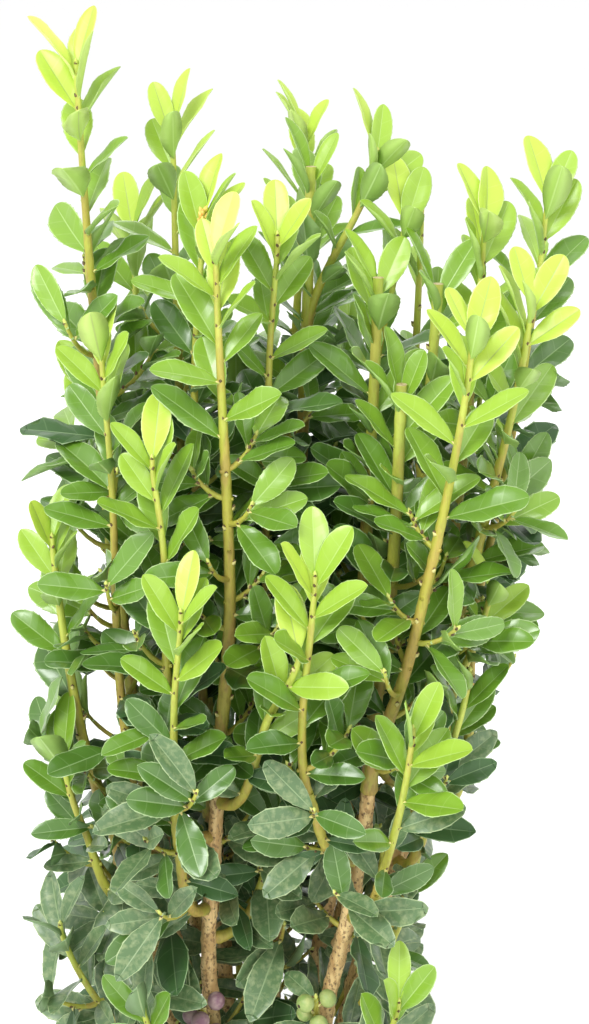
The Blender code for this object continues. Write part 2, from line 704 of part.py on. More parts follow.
def main():
    """Builds the whole plant in an empty scene."""
    for old in list(bpy.data.objects):
        bpy.data.objects.remove(old)
    room = Room()
    build_trunk(room)
    stems = build_boughs(room)
    build_shoots(room, stems)


main()
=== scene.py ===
"""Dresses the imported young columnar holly.

The wood gets bark with relief, every leafy shoot is grown again by the source's rule with finer
twigs, blades with a margin, a midrib and an underside, buds and fruit, and a plain pale studio
lights it from the photograph's side. Lengths are in metres unless a name or a table says mm.
"""

import logging
import math
from dataclasses import dataclass, field
from enum import Enum, IntEnum
from typing import Iterable, Sequence

import bpy
import numpy as np
from mathutils import Euler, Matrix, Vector, noise
from mathutils.bvhtree import BVHTree


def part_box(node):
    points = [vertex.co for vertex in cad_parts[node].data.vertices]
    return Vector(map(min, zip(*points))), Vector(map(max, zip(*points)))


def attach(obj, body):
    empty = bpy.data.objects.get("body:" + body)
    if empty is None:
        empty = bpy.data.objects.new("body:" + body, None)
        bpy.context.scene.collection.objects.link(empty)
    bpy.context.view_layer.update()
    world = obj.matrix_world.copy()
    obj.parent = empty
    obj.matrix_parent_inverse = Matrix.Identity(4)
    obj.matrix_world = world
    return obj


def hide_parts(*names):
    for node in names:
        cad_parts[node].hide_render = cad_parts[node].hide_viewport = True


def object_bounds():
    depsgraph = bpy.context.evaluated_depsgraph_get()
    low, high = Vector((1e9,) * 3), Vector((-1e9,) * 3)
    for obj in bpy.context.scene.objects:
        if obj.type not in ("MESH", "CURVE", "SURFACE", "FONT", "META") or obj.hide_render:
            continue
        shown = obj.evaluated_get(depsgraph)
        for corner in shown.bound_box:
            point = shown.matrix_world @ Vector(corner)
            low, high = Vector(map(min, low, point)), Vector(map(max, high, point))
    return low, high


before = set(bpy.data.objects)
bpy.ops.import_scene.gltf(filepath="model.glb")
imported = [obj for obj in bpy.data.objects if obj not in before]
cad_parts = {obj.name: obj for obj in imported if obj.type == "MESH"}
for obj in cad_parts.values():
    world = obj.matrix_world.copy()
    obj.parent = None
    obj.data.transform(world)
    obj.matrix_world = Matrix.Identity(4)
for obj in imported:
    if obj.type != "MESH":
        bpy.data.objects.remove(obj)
CAD_LOW, CAD_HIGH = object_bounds()

LOG = logging.getLogger("columnar_holly")
MM = 0.001
SEED = 20
LEAF_TURN = math.radians(137.5)
UP = np.array([0.0, 0.0, 1.0])
BACK = np.array([0.0, 1.0, 0.0])
# Keeps a cross product with an upright stem from being nothing.
NUDGE = np.array([1e-6, 0.0, 0.0])
Triple = tuple[float, float, float]
Stops = tuple[tuple[float, float], ...]


class Vigour(Enum):
    """How freely a shoot grows: the source's three tones of foliage."""

    FRESH = "leaves_fresh"
    MID = "leaves_mid"
    DEEP = "leaves_deep"


FRESH, MID, DEEP = Vigour


class Tone(Enum):
    """The colours of a leaf, from the newest to the oldest. Painted shade deals darker ones to leaves low
    down and at the rear; the darkest is old leaves' green deepened with painted shade.
    """

    LEMON = 0
    LIME = 1
    FRESH = 2
    BRIGHT = 3
    MID = 4
    DEEP = 5
    # The darkest green: old leaves' colour deepened with painted shade, for leaves deep in the shade.
    DUSK = 6
    DULL = 7


class BladePart(IntEnum):
    """The parts of a blade, in the order of its materials."""

    BLADE = 0
    MARGIN = 1
    BACK = 2
    VEIN = 3
    RIB = 4
    KEEL = 5


class Draws(Enum):
    """What a source of chance is for. Each use on each limb has a source of its own."""

    TWIGS = 7
    LOW_TWIGS = 9
    LEAVES = 11
    FRUIT = 13

    def source(self, index: int) -> np.random.Generator:
        """The source of chance for this use on the limb of this number."""
        return np.random.default_rng([SEED, self.value, index])


# A foot shoot's tilt from upright, in degrees, and the bare length at a spur's root, in mm.
FOOT_TILT = 92.0
SPUR_BARE = 2.0


@dataclass(frozen=True)
class Limb:
    """A bough or a leafy shoot of the source, with its places in mm.

    It leaves the trunk, a bough's side at a height, or a bough's tip where height is 0.
    """

    name: str
    on: str
    tip: Triple
    through: tuple[Triple, ...] = ()
    height: float = 0.0
    azimuth: float = 0.0
    tilt: float = 70.0
    vigour: Vigour = MID
    cut: bool = False
    fork: Triple | None = None
    berries: int = 0
    bare: float = 6.0


def bough(name: str, on: str, tip: Triple, through: Triple, azimuth: float = 0.0,
          tilt: float = 60.0, height: float = 0.0) -> Limb:
    """A bare, woody limb with one place that it passes through. Its angles are in degrees."""
    return Limb(name, on, tip, (through,), height, azimuth, tilt)


def low_shoot(name: str, on: str, tip: Triple, through: Triple, height: float) -> Limb:
    """A shaded shoot that leaves a bough's side low down."""
    return Limb(name, on, tip, (through,), height, vigour=DEEP)


def foot_shoot(name: str, tip: Triple, through: Triple, azimuth: float, vigour: Vigour = DEEP) -> Limb:
    """A low shoot that sets off nearly level from the trunk, mostly in the shade."""
    return Limb(name, "trunk", tip, (through,), azimuth=azimuth, tilt=FOOT_TILT, vigour=vigour)


def berry_spur(name: str, on: str, tip: Triple, height: float, berries: int) -> Limb:
    """A short shoot low on a bough, with fruit between its leaves."""
    return Limb(name, on, tip, (), height, vigour=DEEP, berries=berries, bare=SPUR_BARE)


BOUGHS = (
    bough("left_bough", "trunk", (-17, -16, 165), (-21, -11, 84), 215, 62),
    bough("right_bough", "trunk", (35, -22, 164), (23, -11, 84), 322, 62),
    bough("far_left_bough", "trunk", (-42, 3, 136), (-31, 3, 82), 178, 64),
    bough("right_side_bough", "trunk", (51, -1, 160), (34, 1, 88), 4, 64),
    bough("back_left_bough", "trunk", (-20, 17, 150), (-17, 16, 90), 138, 60),
    bough("centre_bough", "trunk", (8, 14, 160), (2, 6, 90), 80, 8),
    bough("mid_right_bough", "trunk", (29, 9, 150), (19, 12, 88), 44, 60),
    bough("rear_bough", "trunk", (4, 46, 150), (3, 30, 86), 92, 66),
    bough("low_left_bough", "far_left_bough", (-52, -4, 128), (-43, -2, 95), height=62),
    bough("centre_right_bough", "right_bough", (36, -3, 168), (33, -4, 125), height=98),
    bough("right_back_bough", "right_side_bough", (56, 14, 158), (47, 12, 118), height=92),
    bough("rear_left_bough", "back_left_bough", (-44, 40, 156), (-34, 34, 112), height=76),
    bough("rear_right_bough", "mid_right_bough", (40, 42, 156), (32, 34, 112), height=76),
)

SHOOTS = (
    Limb("left_main_shoot", "left_bough", (-15, -32, 350), ((-12, -22, 234),), vigour=FRESH),
    Limb("right_main_shoot", "right_bough", (65, -40, 325), ((49, -30, 222),), vigour=FRESH),
    Limb("front_left_shoot", "left_bough", (-27, -46, 236), ((-30, -34, 150), (-30, -42, 202)), 116),
    Limb("front_centre_shoot", "right_bough", (16, -50, 250), ((15, -36, 167), (12, -44, 198)), 137),
    Limb("front_right_shoot", "right_bough", (48, -50, 198), ((41, -36, 146),), 115),
    Limb("inner_left_shoot", "left_bough", (-36, -34, 284), ((-32, -29, 200), (-33, -32, 252)), 144),
    Limb("middle_shoot", "left_bough", (11, -50, 224), ((1, -38, 198),), 158, bare=12),
    low_shoot("hidden_shoot", "left_bough", (11, -7, 167), (5, -7, 149), 102),
    Limb("centre_right_shoot", "centre_right_bough", (44, -21, 307), ((42, -12, 232),), cut=True),
    Limb("tall_left_shoot", "far_left_bough", (-60, 0, 405), ((-52, 5, 239),), vigour=FRESH),
    Limb("outer_left_shoot", "far_left_bough", (-53, -16, 316), ((-50, -10, 190), (-51, -14, 269)), 128),
    Limb("low_left_shoot", "low_left_bough", (-72, -10, 250), ((-64, -8, 177),)),
    Limb("left_edge_shoot", "low_left_bough", (-70, -17, 172), ((-64, -13, 145),), 118, vigour=DEEP),
    Limb("back_left_shoot", "back_left_bough", (-31, 22, 383), ((-29, 22, 255),), vigour=FRESH),
    Limb("upper_left_shoot", "back_left_bough", (-20, -6, 358), ((-23, 6, 200), (-24, 2, 300)), 138),
    Limb("centre_shoot", "centre_bough", (15, 25, 371), ((11, 21, 240),), cut=True, fork=(37, 17, 375)),
    Limb("centre_left_shoot", "centre_bough", (4, -5, 351), ((0, 2, 220), (1, 0, 306)), 146),
    Limb("mid_right_shoot", "mid_right_bough", (37, 0, 338), ((34, 2, 250),), cut=True),
    Limb("mid_back_shoot", "mid_right_bough", (46, 12, 354), ((33, 17, 220), (37, 16, 300)), 138),
    Limb("right_cut_shoot", "right_back_bough", (57, 5, 335), ((53, 7, 260),), 150, cut=True),
    Limb("right_upper_shoot", "right_back_bough", (72, 6, 354), ((67, 10, 270),), vigour=FRESH),
    Limb("right_top_shoot", "right_back_bough", (93, 12, 361), ((74, 17, 220), (86, 13, 294)), 138),
    Limb("right_side_shoot", "right_side_bough", (86, -14, 331), ((70, -6, 240),), vigour=FRESH),
    Limb("right_edge_shoot", "right_side_bough", (76, -11, 233), ((64, -4, 190),), 148),
    Limb("right_mid_shoot", "right_side_bough", (69, -18, 205), ((60, -12, 165),), 128, vigour=DEEP),
    low_shoot("right_low_shoot", "right_side_bough", (59, -8, 166), (54, -5, 134), 104),
    low_shoot("right_foot_shoot", "right_side_bough", (50, -14, 122), (43, -9, 96), 72),
    Limb("rear_left_shoot", "rear_left_bough", (-47, 50, 346), ((-45, 48, 250),), vigour=FRESH),
    Limb("rear_left_side_shoot", "rear_left_bough", (-60, 31, 292), ((-54, 35, 200),), 146),
    Limb("rear_left_inner_shoot", "rear_left_bough", (-30, 62, 316), ((-34, 54, 220),), 138),
    Limb("rear_shoot", "rear_bough", (13, 58, 379), ((7, 54, 250),), vigour=FRESH),
    Limb("rear_side_shoot", "rear_bough", (-12, 70, 286), ((-8, 64, 210),), 140),
    Limb("rear_inner_shoot", "rear_bough", (28, 72, 306), ((18, 62, 210),), 128),
    Limb("rear_right_shoot", "rear_right_bough", (54, 50, 352), ((50, 46, 250),), vigour=FRESH),
    Limb("rear_right_side_shoot", "rear_right_bough", (76, 38, 300), ((64, 38, 210),), 146),
    Limb("rear_right_low_shoot", "rear_right_bough", (62, 62, 236), ((54, 54, 185),), 134),
    foot_shoot("left_foot_shoot", (-72, -27, 114), (-50, -18, 66), 196),
    foot_shoot("front_left_foot_shoot", (-42, -49, 95), (-29, -35, 60), 236),
    foot_shoot("front_right_foot_shoot", (45, -48, 96), (29, -36, 56), 302, MID),
    foot_shoot("rear_left_foot_shoot", (-58, 34, 120), (-38, 22, 66), 158),
    foot_shoot("rear_foot_shoot", (-16, 60, 116), (-12, 40, 62), 114),
    foot_shoot("rear_right_foot_shoot", (44, 36, 118), (32, 23, 66), 30),
    berry_spur("left_berry_spur", "left_bough", (-23, -28, 85), 66, 4),
    berry_spur("right_berry_spur", "right_bough", (17, -30, 87), 66, 5),
)

# How far the sunk ring at a stem's root is drawn in.
ROOT_SHARE = 0.45


@dataclass(frozen=True)
class Clearing:
    """A round place in the front view that leaves keep clear of, to show sky or a main stem's bark.

    Its sizes are in mm, across and up over the crown's axis. Leaves behind its depth don't count.
    """

    side: float
    up: float
    half_width: float
    half_height: float
    depth: float = 100.0

    def holds(self, side: np.ndarray, up: np.ndarray, depth: np.ndarray) -> np.ndarray:
        """Which places lie in it, by where they show in the front view in mm and their depth in metres."""
        away = ((side - self.side) / self.half_width) ** 2 + ((up - self.up) / self.half_height) ** 2
        return (away < 1.0) & (depth < self.depth * MM)


SKY_GAPS = (
    Clearing(-60.5, 243.0, 3.0, 8.0),
    Clearing(-56.0, 222.0, 3.0, 5.0),
    Clearing(-58.0, 188.0, 4.5, 13.0),
    Clearing(49.5, 327.0, 3.0, 6.5),
    Clearing(58.0, 356.0, 6.0, 10.0),
)
LEFT_BARK = (
    Clearing(-21.5, 90.0, 3.5, 18.0, -12.0),
    Clearing(-19.0, 141.0, 2.5, 8.0, -12.0),
    Clearing(-15.0, 187.0, 3.0, 9.0, -12.0),
    Clearing(-13.2, 247.0, 2.8, 40.0, -22.0),
)
RIGHT_BARK = (
    Clearing(22.5, 74.0, 3.5, 9.0, -13.0),
    Clearing(26.0, 91.0, 3.5, 9.0, -13.0),
    Clearing(35.3, 149.0, 3.5, 9.0, -13.0),
    Clearing(44.5, 188.0, 3.5, 7.0, -13.0),
    Clearing(49.5, 206.0, 3.0, 8.0, -28.0),
    Clearing(53.5, 223.0, 3.0, 9.0, -30.0),
    Clearing(57.0, 241.0, 3.0, 9.0, -32.0),
)


def unit(vector: np.ndarray) -> np.ndarray:
    """The vector at length 1."""
    return vector / np.linalg.norm(vector)


def millimetres(point: Triple) -> np.ndarray:
    """A table's point as an array in metres."""
    return np.array(point, float) * MM


def across(direction: np.ndarray) -> tuple[np.ndarray, np.ndarray]:
    """Two unit vectors square to a direction and to each other, the first one level."""
    level = unit(np.cross(UP, direction) + NUDGE)
    return level, np.cross(direction, level)


def circle(side: np.ndarray, other: np.ndarray, sides: int) -> np.ndarray:
    """Points on a circle of radius 1 in the plane of two vectors, one row each."""
    turns = np.linspace(0.0, 2 * math.pi, sides, endpoint=False)[:, None]
    return np.cos(turns) * side + np.sin(turns) * other


def turned(x: np.ndarray, z: np.ndarray, angle: np.ndarray) -> tuple[np.ndarray, np.ndarray]:
    """Places in a plane turned round its origin."""
    return x * np.cos(angle) - z * np.sin(angle), x * np.sin(angle) + z * np.cos(angle)


def blend(low: Sequence[float], high: Sequence[float], share: float) -> Triple:
    """A colour part of the way from one to another."""
    return tuple(a + (b - a) * share for a, b in zip(low, high))


@dataclass
class MeshPart:
    """Points and faces with a material number on each face, gathered before a mesh is made."""

    points: list[np.ndarray] = field(default_factory=list)
    faces: list[tuple[int, ...]] = field(default_factory=list)
    slots: list[int] = field(default_factory=list)
    count: int = 0

    def add(self, points: np.ndarray, faces: Sequence[Sequence[int]],
            slots: int | Sequence[int] = 0) -> None:
        """Adds a shape.

        Args:
            points: its points, one row each.
            faces: point numbers of each face, counted from 0.
            slots: the material number of all its faces, or of each one.
        """
        self.points.append(points)
        self.faces += [tuple(self.count + k for k in face) for face in faces]
        self.slots += [slots] * len(faces) if isinstance(slots, int) else slots
        self.count += len(points)

    def piece(self, name: str, materials: Sequence[bpy.types.Material],
              ages: np.ndarray | None = None) -> bpy.types.Object:
        """Makes a smooth-shaded mesh object of the gathered shapes.

        Args:
            name: the piece's name.
            materials: its materials in order.
            ages: each point's age from 0 to 1, where a material reads it.

        Returns:
            The object, linked to the scene.
        """
        mesh = bpy.data.meshes.new(name)
        mesh.from_pydata(np.concatenate(self.points).tolist(), [], self.faces)
        for material in materials:
            mesh.materials.append(material)
        mesh.polygons.foreach_set("material_index", np.asarray(self.slots, np.int32))
        mesh.shade_smooth()
        if ages is not None:
            mesh.attributes.new("age", "FLOAT", "POINT").data.foreach_set("value", ages)
        made = bpy.data.objects.new(name, mesh)
        bpy.context.scene.collection.objects.link(made)
        return made


class Signal:
    """A shader socket that takes part in Python expressions."""

    def __init__(self, tree: bpy.types.NodeTree, socket: bpy.types.NodeSocket) -> None:
        """Wraps an output socket of a tree."""
        self.tree = tree
        self.socket = socket

    def _math(self, operation: str, first: "Signal | float", second: "Signal | float") -> "Signal":
        """Adds one Math node.

        Args:
            operation: its operation.
            first: its first value.
            second: its second value.

        Returns:
            Its output.
        """
        node = self.tree.nodes.new("ShaderNodeMath")
        node.operation = operation
        for socket, value in zip(node.inputs, (first, second)):
            if isinstance(value, Signal):
                self.tree.links.new(value.socket, socket)
            else:
                socket.default_value = value
        return Signal(self.tree, node.outputs[0])

    def __add__(self, other: "Signal | float") -> "Signal":
        """self + other."""
        return self._math("ADD", self, other)

    def __radd__(self, other: float) -> "Signal":
        """other + self."""
        return self._math("ADD", other, self)

    def __sub__(self, other: "Signal | float") -> "Signal":
        """self - other."""
        return self._math("SUBTRACT", self, other)

    def __rsub__(self, other: float) -> "Signal":
        """other - self."""
        return self._math("SUBTRACT", other, self)

    def __mul__(self, other: "Signal | float") -> "Signal":
        """self * other."""
        return self._math("MULTIPLY", self, other)

    def __rmul__(self, other: float) -> "Signal":
        """other * self."""
        return self._math("MULTIPLY", other, self)


@dataclass(frozen=True)
class Grain:
    """Soft noise: its waves in a metre, its octaves, and how often it waves along the height."""

    scale: float
    detail: float = 3.0
    along: float = 1.0


class Palette:
    """One material's node tree, with the calls that dress its shader."""

    def __init__(self, name: str) -> None:
        """Makes a material with an empty Principled shader.

        Args:
            name: its name.
        """
        self.material = bpy.data.materials.new(name)
        self.material.use_nodes = True
        self.tree = self.material.node_tree
        self.shader = self.tree.nodes["Principled BSDF"]

    def node(self, kind: str, settings: dict[str, object], sockets: dict[str, object]) -> bpy.types.Node:
        """Adds a node.

        Args:
            kind: its Blender type name.
            settings: its properties, and for a ramp its stops as (place, colour) pairs.
            sockets: values or signals of its input sockets, by name or by number as text.

        Returns:
            The node.
        """
        made = self.tree.nodes.new(kind)
        for key, value in settings.items():
            if key == "stops":
                self._stops(made.color_ramp, value)
            else:
                setattr(made, key, value)
        for key, value in sockets.items():
            socket = made.inputs[int(key)] if key.isdigit() else made.inputs[key]
            self.feed(socket, value)
        return made

    @staticmethod
    def _stops(ramp: bpy.types.ColorRamp, stops: Sequence[tuple[float, Triple]]) -> None:
        """Sets a ramp's stops."""
        while len(ramp.elements) < len(stops):
            ramp.elements.new(1.0)
        for element, (place, colour) in zip(ramp.elements, stops):
            element.position = place
            element.color = (*colour, 1.0)

    def feed(self, socket: bpy.types.NodeSocket, value: object) -> None:
        """Links a signal to a socket, or sets the socket's own value."""
        if isinstance(value, Signal):
            self.tree.links.new(value.socket, socket)
        else:
            socket.default_value = value

    def out(self, node: bpy.types.Node, name: str | int = 0) -> Signal:
        """An output of a node as a signal."""
        return Signal(self.tree, node.outputs[name])

    def place(self) -> Signal:
        """Where a point lies on the object, in metres."""
        return self.out(self.node("ShaderNodeTexCoord", {}, {}), "Object")

    def noise(self, grain: Grain) -> Signal:
        """Soft noise from 0 to 1.

        Args:
            grain: its waves.

        Returns:
            The noise.
        """
        stretch = {"0": self.place(), "Scale": (1.0, 1.0, grain.along)}
        mapped = self.out(self.node("ShaderNodeMapping", {}, stretch))
        sockets = {"Vector": mapped, "Scale": grain.scale, "Detail": grain.detail}
        return self.out(self.node("ShaderNodeTexNoise", {}, sockets), "Fac")

    def ramp(self, value: Signal, places: Sequence[float], colours: Sequence[Triple]) -> Signal:
        """Colours dealt out along a value, each at its place."""
        stops = tuple(zip(places, colours))
        return self.out(self.node("ShaderNodeValToRGB", {"stops": stops}, {"0": value}))

    def mask(self, value: Signal, stops: Stops) -> Signal:
        """Shares dealt out along a value, each stop a place and a share."""
        places, shares = zip(*stops)
        return self.ramp(value, places, [(share, share, share) for share in shares])

    def mix(self, share: Signal, low: Signal | Triple, high: Signal | Triple) -> Signal:
        """A colour between two.

        Args:
            share: 0 for the first, 1 for the second.
            low: the first colour.
            high: the second colour.

        Returns:
            The mixed colour.
        """
        colours = [c if isinstance(c, Signal) else (*c, 1.0) for c in (low, high)]
        sockets = {"0": share, "6": colours[0], "7": colours[1]}
        made = self.node("ShaderNodeMix", {"data_type": "RGBA"}, sockets)
        return self.out(made, 2)

    def bump(self, height: Signal, strength: float, distance: float) -> None:
        """Raises the surface along a height, which is this distance in metres where it is 1."""
        sockets = {"Height": height, "Strength": strength, "Distance": distance}
        self.set("Normal", self.out(self.node("ShaderNodeBump", {}, sockets)))

    def set(self, socket: str, value: object) -> None:
        """Sets or links one socket of the shader."""
        if isinstance(value, tuple):
            value = (*value, 1.0)
        self.feed(self.shader.inputs[socket], value)


@dataclass(frozen=True)
class LeafFinish:
    """The plain colours of one tone of leaf, and its gloss. Old leaves have pale blotches."""

    tone: Tone
    blade: Triple
    back: Triple
    line: Triple
    roughness: float
    gloss: float
    coat: float
    blotch: Triple | None = None
    rib_depth: float = 1.0
    vein_share: float = 0.13
    rib_share: float = 0.5
    keel_share: float = 0.8
    coat_roughness: float = 0.24
    dull_parts: float = 0.12
    blotches: Grain = Grain(480.0, 5.0)
    blotch_places: tuple[float, float] = (0.46, 0.76)

    def materials(self) -> list[bpy.types.Material]:
        """Makes a material for each part of a blade.

        Returns:
            The materials, in the order of the parts.
        """
        rib = blend(self.blade, self.line, self.rib_share)
        keel = blend(self.back, self.line, self.keel_share)
        plain = {
            BladePart.BLADE: self.blade,
            BladePart.MARGIN: self.line,
            BladePart.BACK: self.back,
            BladePart.VEIN: blend(self.blade, self.line, self.vein_share),
            BladePart.RIB: tuple(value * self.rib_depth for value in rib),
            BladePart.KEEL: tuple(value * self.rib_depth for value in keel),
        }
        made = []
        for part, colour in plain.items():
            palette = Palette(f"leaf_{self.tone.name.lower()}_{part.name.lower()}")
            palette.set("Base Color", colour)
            dulled = self.dull_parts if part in (BladePart.MARGIN, BladePart.BACK) else 0.0
            palette.set("Roughness", self.roughness + dulled)
            palette.set("Specular IOR Level", self.gloss)
            if part in (BladePart.BLADE, BladePart.VEIN):
                palette.set("Coat Weight", self.coat)
                palette.set("Coat Roughness", self.coat_roughness)
            if part is BladePart.BLADE and self.blotch:
                colours = (self.blade, self.blotch)
                blotched = palette.ramp(palette.noise(self.blotches), self.blotch_places, colours)
                palette.set("Base Color", blotched)
            made.append(palette.material)
        return made


LEAF_FINISHES = (
    LeafFinish(Tone.LEMON, (0.66, 0.80, 0.15), (0.60, 0.74, 0.20), (0.78, 0.86, 0.30), 0.42, 0.4, 0.0,
               rib_depth=0.66),
    LeafFinish(Tone.LIME, (0.47, 0.64, 0.075), (0.46, 0.63, 0.15), (0.62, 0.77, 0.26), 0.40, 0.5, 0.05,
               rib_depth=0.68),
    LeafFinish(Tone.FRESH, (0.315, 0.50, 0.048), (0.36, 0.54, 0.12), (0.49, 0.67, 0.23), 0.37, 0.5, 0.15),
    LeafFinish(Tone.BRIGHT, (0.208, 0.378, 0.03), (0.28, 0.45, 0.10), (0.48, 0.66, 0.26), 0.34, 0.55, 0.3),
    LeafFinish(Tone.MID, (0.126, 0.268, 0.022), (0.21, 0.36, 0.09), (0.42, 0.58, 0.25), 0.32, 0.6, 0.45),
    LeafFinish(Tone.DEEP, (0.075, 0.178, 0.022), (0.16, 0.29, 0.08), (0.38, 0.53, 0.25), 0.32, 0.55, 0.4),
    # The darkest tone: an old leaf's dark green deepened with painted shade.
    LeafFinish(Tone.DUSK, (0.050, 0.118, 0.035), (0.11, 0.21, 0.07), (0.29, 0.42, 0.21), 0.40, 0.35, 0.1),
    LeafFinish(Tone.DULL, (0.100, 0.182, 0.070), (0.19, 0.30, 0.13), (0.38, 0.49, 0.25), 0.42, 0.5, 0.25,
               (0.27, 0.34, 0.16)),
)


@dataclass(frozen=True)
class StemFinish:
    """The skin of the shoots: lime at a tip, olive and golden below, and tan where it meets the bark."""

    lime: Triple = (0.48, 0.56, 0.09)
    olive: Triple = (0.41, 0.42, 0.05)
    golden: Triple = (0.48, 0.41, 0.07)
    woody: Triple = (0.40, 0.41, 0.065)
    bark: Triple = (0.72, 0.50, 0.22)
    russet: Triple = (0.50, 0.27, 0.09)
    shade: Triple = (0.22, 0.16, 0.04)
    drift: Grain = Grain(190.0, 3.0, 0.3)
    ridges: Grain = Grain(800.0, 3.0, 0.35)
    blushes: Grain = Grain(210.0, 4.0, 0.3)
    places: tuple[float, ...] = (0.04, 0.21, 0.46, 0.8, 1.0)
    blush_mask: Stops = ((0.49, 0.0), (0.60, 0.9))
    mottle_mask: Stops = ((0.38, 0.75), (0.52, 0.0))
    drift_share: float = 0.35
    young_blush: float = 0.3
    young_mottle: float = 0.2
    older_marks: float = 0.5
    roughness: float = 0.42
    roughness_drift: float = 0.2
    ridge_strength: float = 0.4
    ridge_height: float = 0.3 * MM

    def material(self) -> bpy.types.Material:
        """Makes the material. The mesh's own age, from 0 to 1, drives its colour.

        Returns:
            The material.
        """
        palette = Palette("stem_skin")
        age = palette.out(palette.node("ShaderNodeAttribute", {"attribute_name": "age"}, {}), "Fac")
        drift = palette.noise(self.drift)
        ridges = palette.noise(self.ridges)
        colours = (self.lime, self.olive, self.golden, self.woody, self.bark)
        colour = palette.ramp(age + self.drift_share * (drift - 0.5), self.places, colours)
        blush = palette.mask(palette.noise(self.blushes), self.blush_mask)
        colour = palette.mix(blush * (self.young_blush + self.older_marks * age), colour, self.russet)
        mottle = palette.mask(ridges, self.mottle_mask)
        colour = palette.mix(mottle * (self.young_mottle + self.older_marks * age), colour, self.shade)
        palette.set("Base Color", colour)
        palette.set("Roughness", self.roughness + self.roughness_drift * drift)
        palette.bump(ridges, self.ridge_strength, self.ridge_height)
        return palette.material


@dataclass(frozen=True)
class BarkFinish:
    """Woody bark: tan over orange brown, streaked and speckled, with dark breathing pores."""

    tan: Triple = (0.84, 0.61, 0.28)
    brown: Triple = (0.59, 0.36, 0.14)
    shade: Triple = (0.27, 0.155, 0.065)
    grey: Triple = (0.52, 0.43, 0.21)
    pore: Triple = (0.10, 0.055, 0.03)
    patches: Grain = Grain(300.0, 5.0, 0.35)
    streaks: Grain = Grain(620.0, 3.0, 0.16)
    specks: Grain = Grain(850.0, 4.0, 0.7)
    greying: Grain = Grain(60.0, 2.0)
    patch_places: tuple[float, float] = (0.40, 0.56)
    grey_mask: Stops = ((0.5, 0.0), (0.72, 1.0))
    speck_mask: Stops = ((0.38, 0.9), (0.48, 0.0))
    streak_mask: Stops = ((0.38, 0.7), (0.5, 0.0))
    pore_mask: Stops = ((0.27, 1.0), (0.36, 0.0))
    grey_share: float = 0.5
    pore_scale: float = 380.0
    pore_patches: float = 0.25
    pore_share: float = 0.75
    roughness: float = 0.62
    roughness_streaks: float = 0.2
    relief_specks: float = 0.5
    relief_pores: float = 0.4
    relief_strength: float = 0.6
    relief_height: float = 0.4 * MM

    def material(self) -> bpy.types.Material:
        """Makes the material.

        Returns:
            The material.
        """
        palette = Palette("bark")
        patches, streaks, specks = map(palette.noise, (self.patches, self.streaks, self.specks))
        colour = palette.ramp(patches, self.patch_places, (self.brown, self.tan))
        greying = palette.mask(palette.noise(self.greying), self.grey_mask)
        colour = palette.mix(greying * self.grey_share, colour, self.grey)
        colour = palette.mix(palette.mask(specks, self.speck_mask), colour, self.shade)
        colour = palette.mix(palette.mask(streaks, self.streak_mask), colour, self.brown)
        sockets = {"Vector": palette.place(), "Scale": self.pore_scale, "Randomness": 1.0}
        cells = palette.out(palette.node("ShaderNodeTexVoronoi", {}, sockets), "Distance")
        pores = palette.mask(cells + self.pore_patches * patches, self.pore_mask)
        palette.set("Base Color", palette.mix(self.pore_share * pores, colour, self.pore))
        palette.set("Roughness", self.roughness + self.roughness_streaks * streaks)
        relief = streaks + self.relief_specks * specks + self.relief_pores * pores
        palette.bump(relief, self.relief_strength, self.relief_height)
        return palette.material


@dataclass(frozen=True)
class PlainFinish:
    """A soft, slightly mottled skin, for fruit, buds and cut wood."""

    name: str
    light: Triple
    dark: Triple
    roughness: float
    scale: float = 500.0
    roughness_mottle: float = 0.15
    places: tuple[float, float] = (0.35, 0.65)

    def material(self) -> bpy.types.Material:
        """Makes the material.

        Returns:
            The material.
        """
        palette = Palette(self.name)
        mottle = palette.noise(Grain(self.scale))
        palette.set("Base Color", palette.ramp(mottle, self.places, (self.dark, self.light)))
        palette.set("Roughness", self.roughness + self.roughness_mottle * mottle)
        return palette.material


PURPLE_FRUIT = PlainFinish("fruit_purple", (0.34, 0.24, 0.23), (0.17, 0.08, 0.11), 0.42, 330.0)
GREEN_FRUIT = PlainFinish("fruit_green", (0.42, 0.48, 0.17), (0.23, 0.35, 0.09), 0.42, 330.0)
FRUIT_END = PlainFinish("fruit_end", (0.10, 0.07, 0.04), (0.05, 0.03, 0.02), 0.6)
BUD_SKIN = PlainFinish("bud_skin", (0.20, 0.13, 0.05), (0.08, 0.045, 0.025), 0.5, 900.0)
TIP_SKIN = PlainFinish("tip_skin", (0.70, 0.76, 0.20), (0.58, 0.62, 0.14), 0.5, 900.0)
BLOSSOM_SKIN = PlainFinish("blossom_skin", (0.90, 0.72, 0.20), (0.78, 0.42, 0.08), 0.5, 900.0)
STALK_SKIN = PlainFinish("stalk_skin", (0.46, 0.52, 0.14), (0.34, 0.38, 0.10), 0.5, 900.0)
LEAF_FOOT_SKIN = PlainFinish("leaf_foot_skin", (0.74, 0.68, 0.27), (0.52, 0.47, 0.14), 0.5, 900.0)
CUT_WOOD = PlainFinish("cut_wood", (0.66, 0.56, 0.34), (0.44, 0.33, 0.17), 0.7, 900.0)


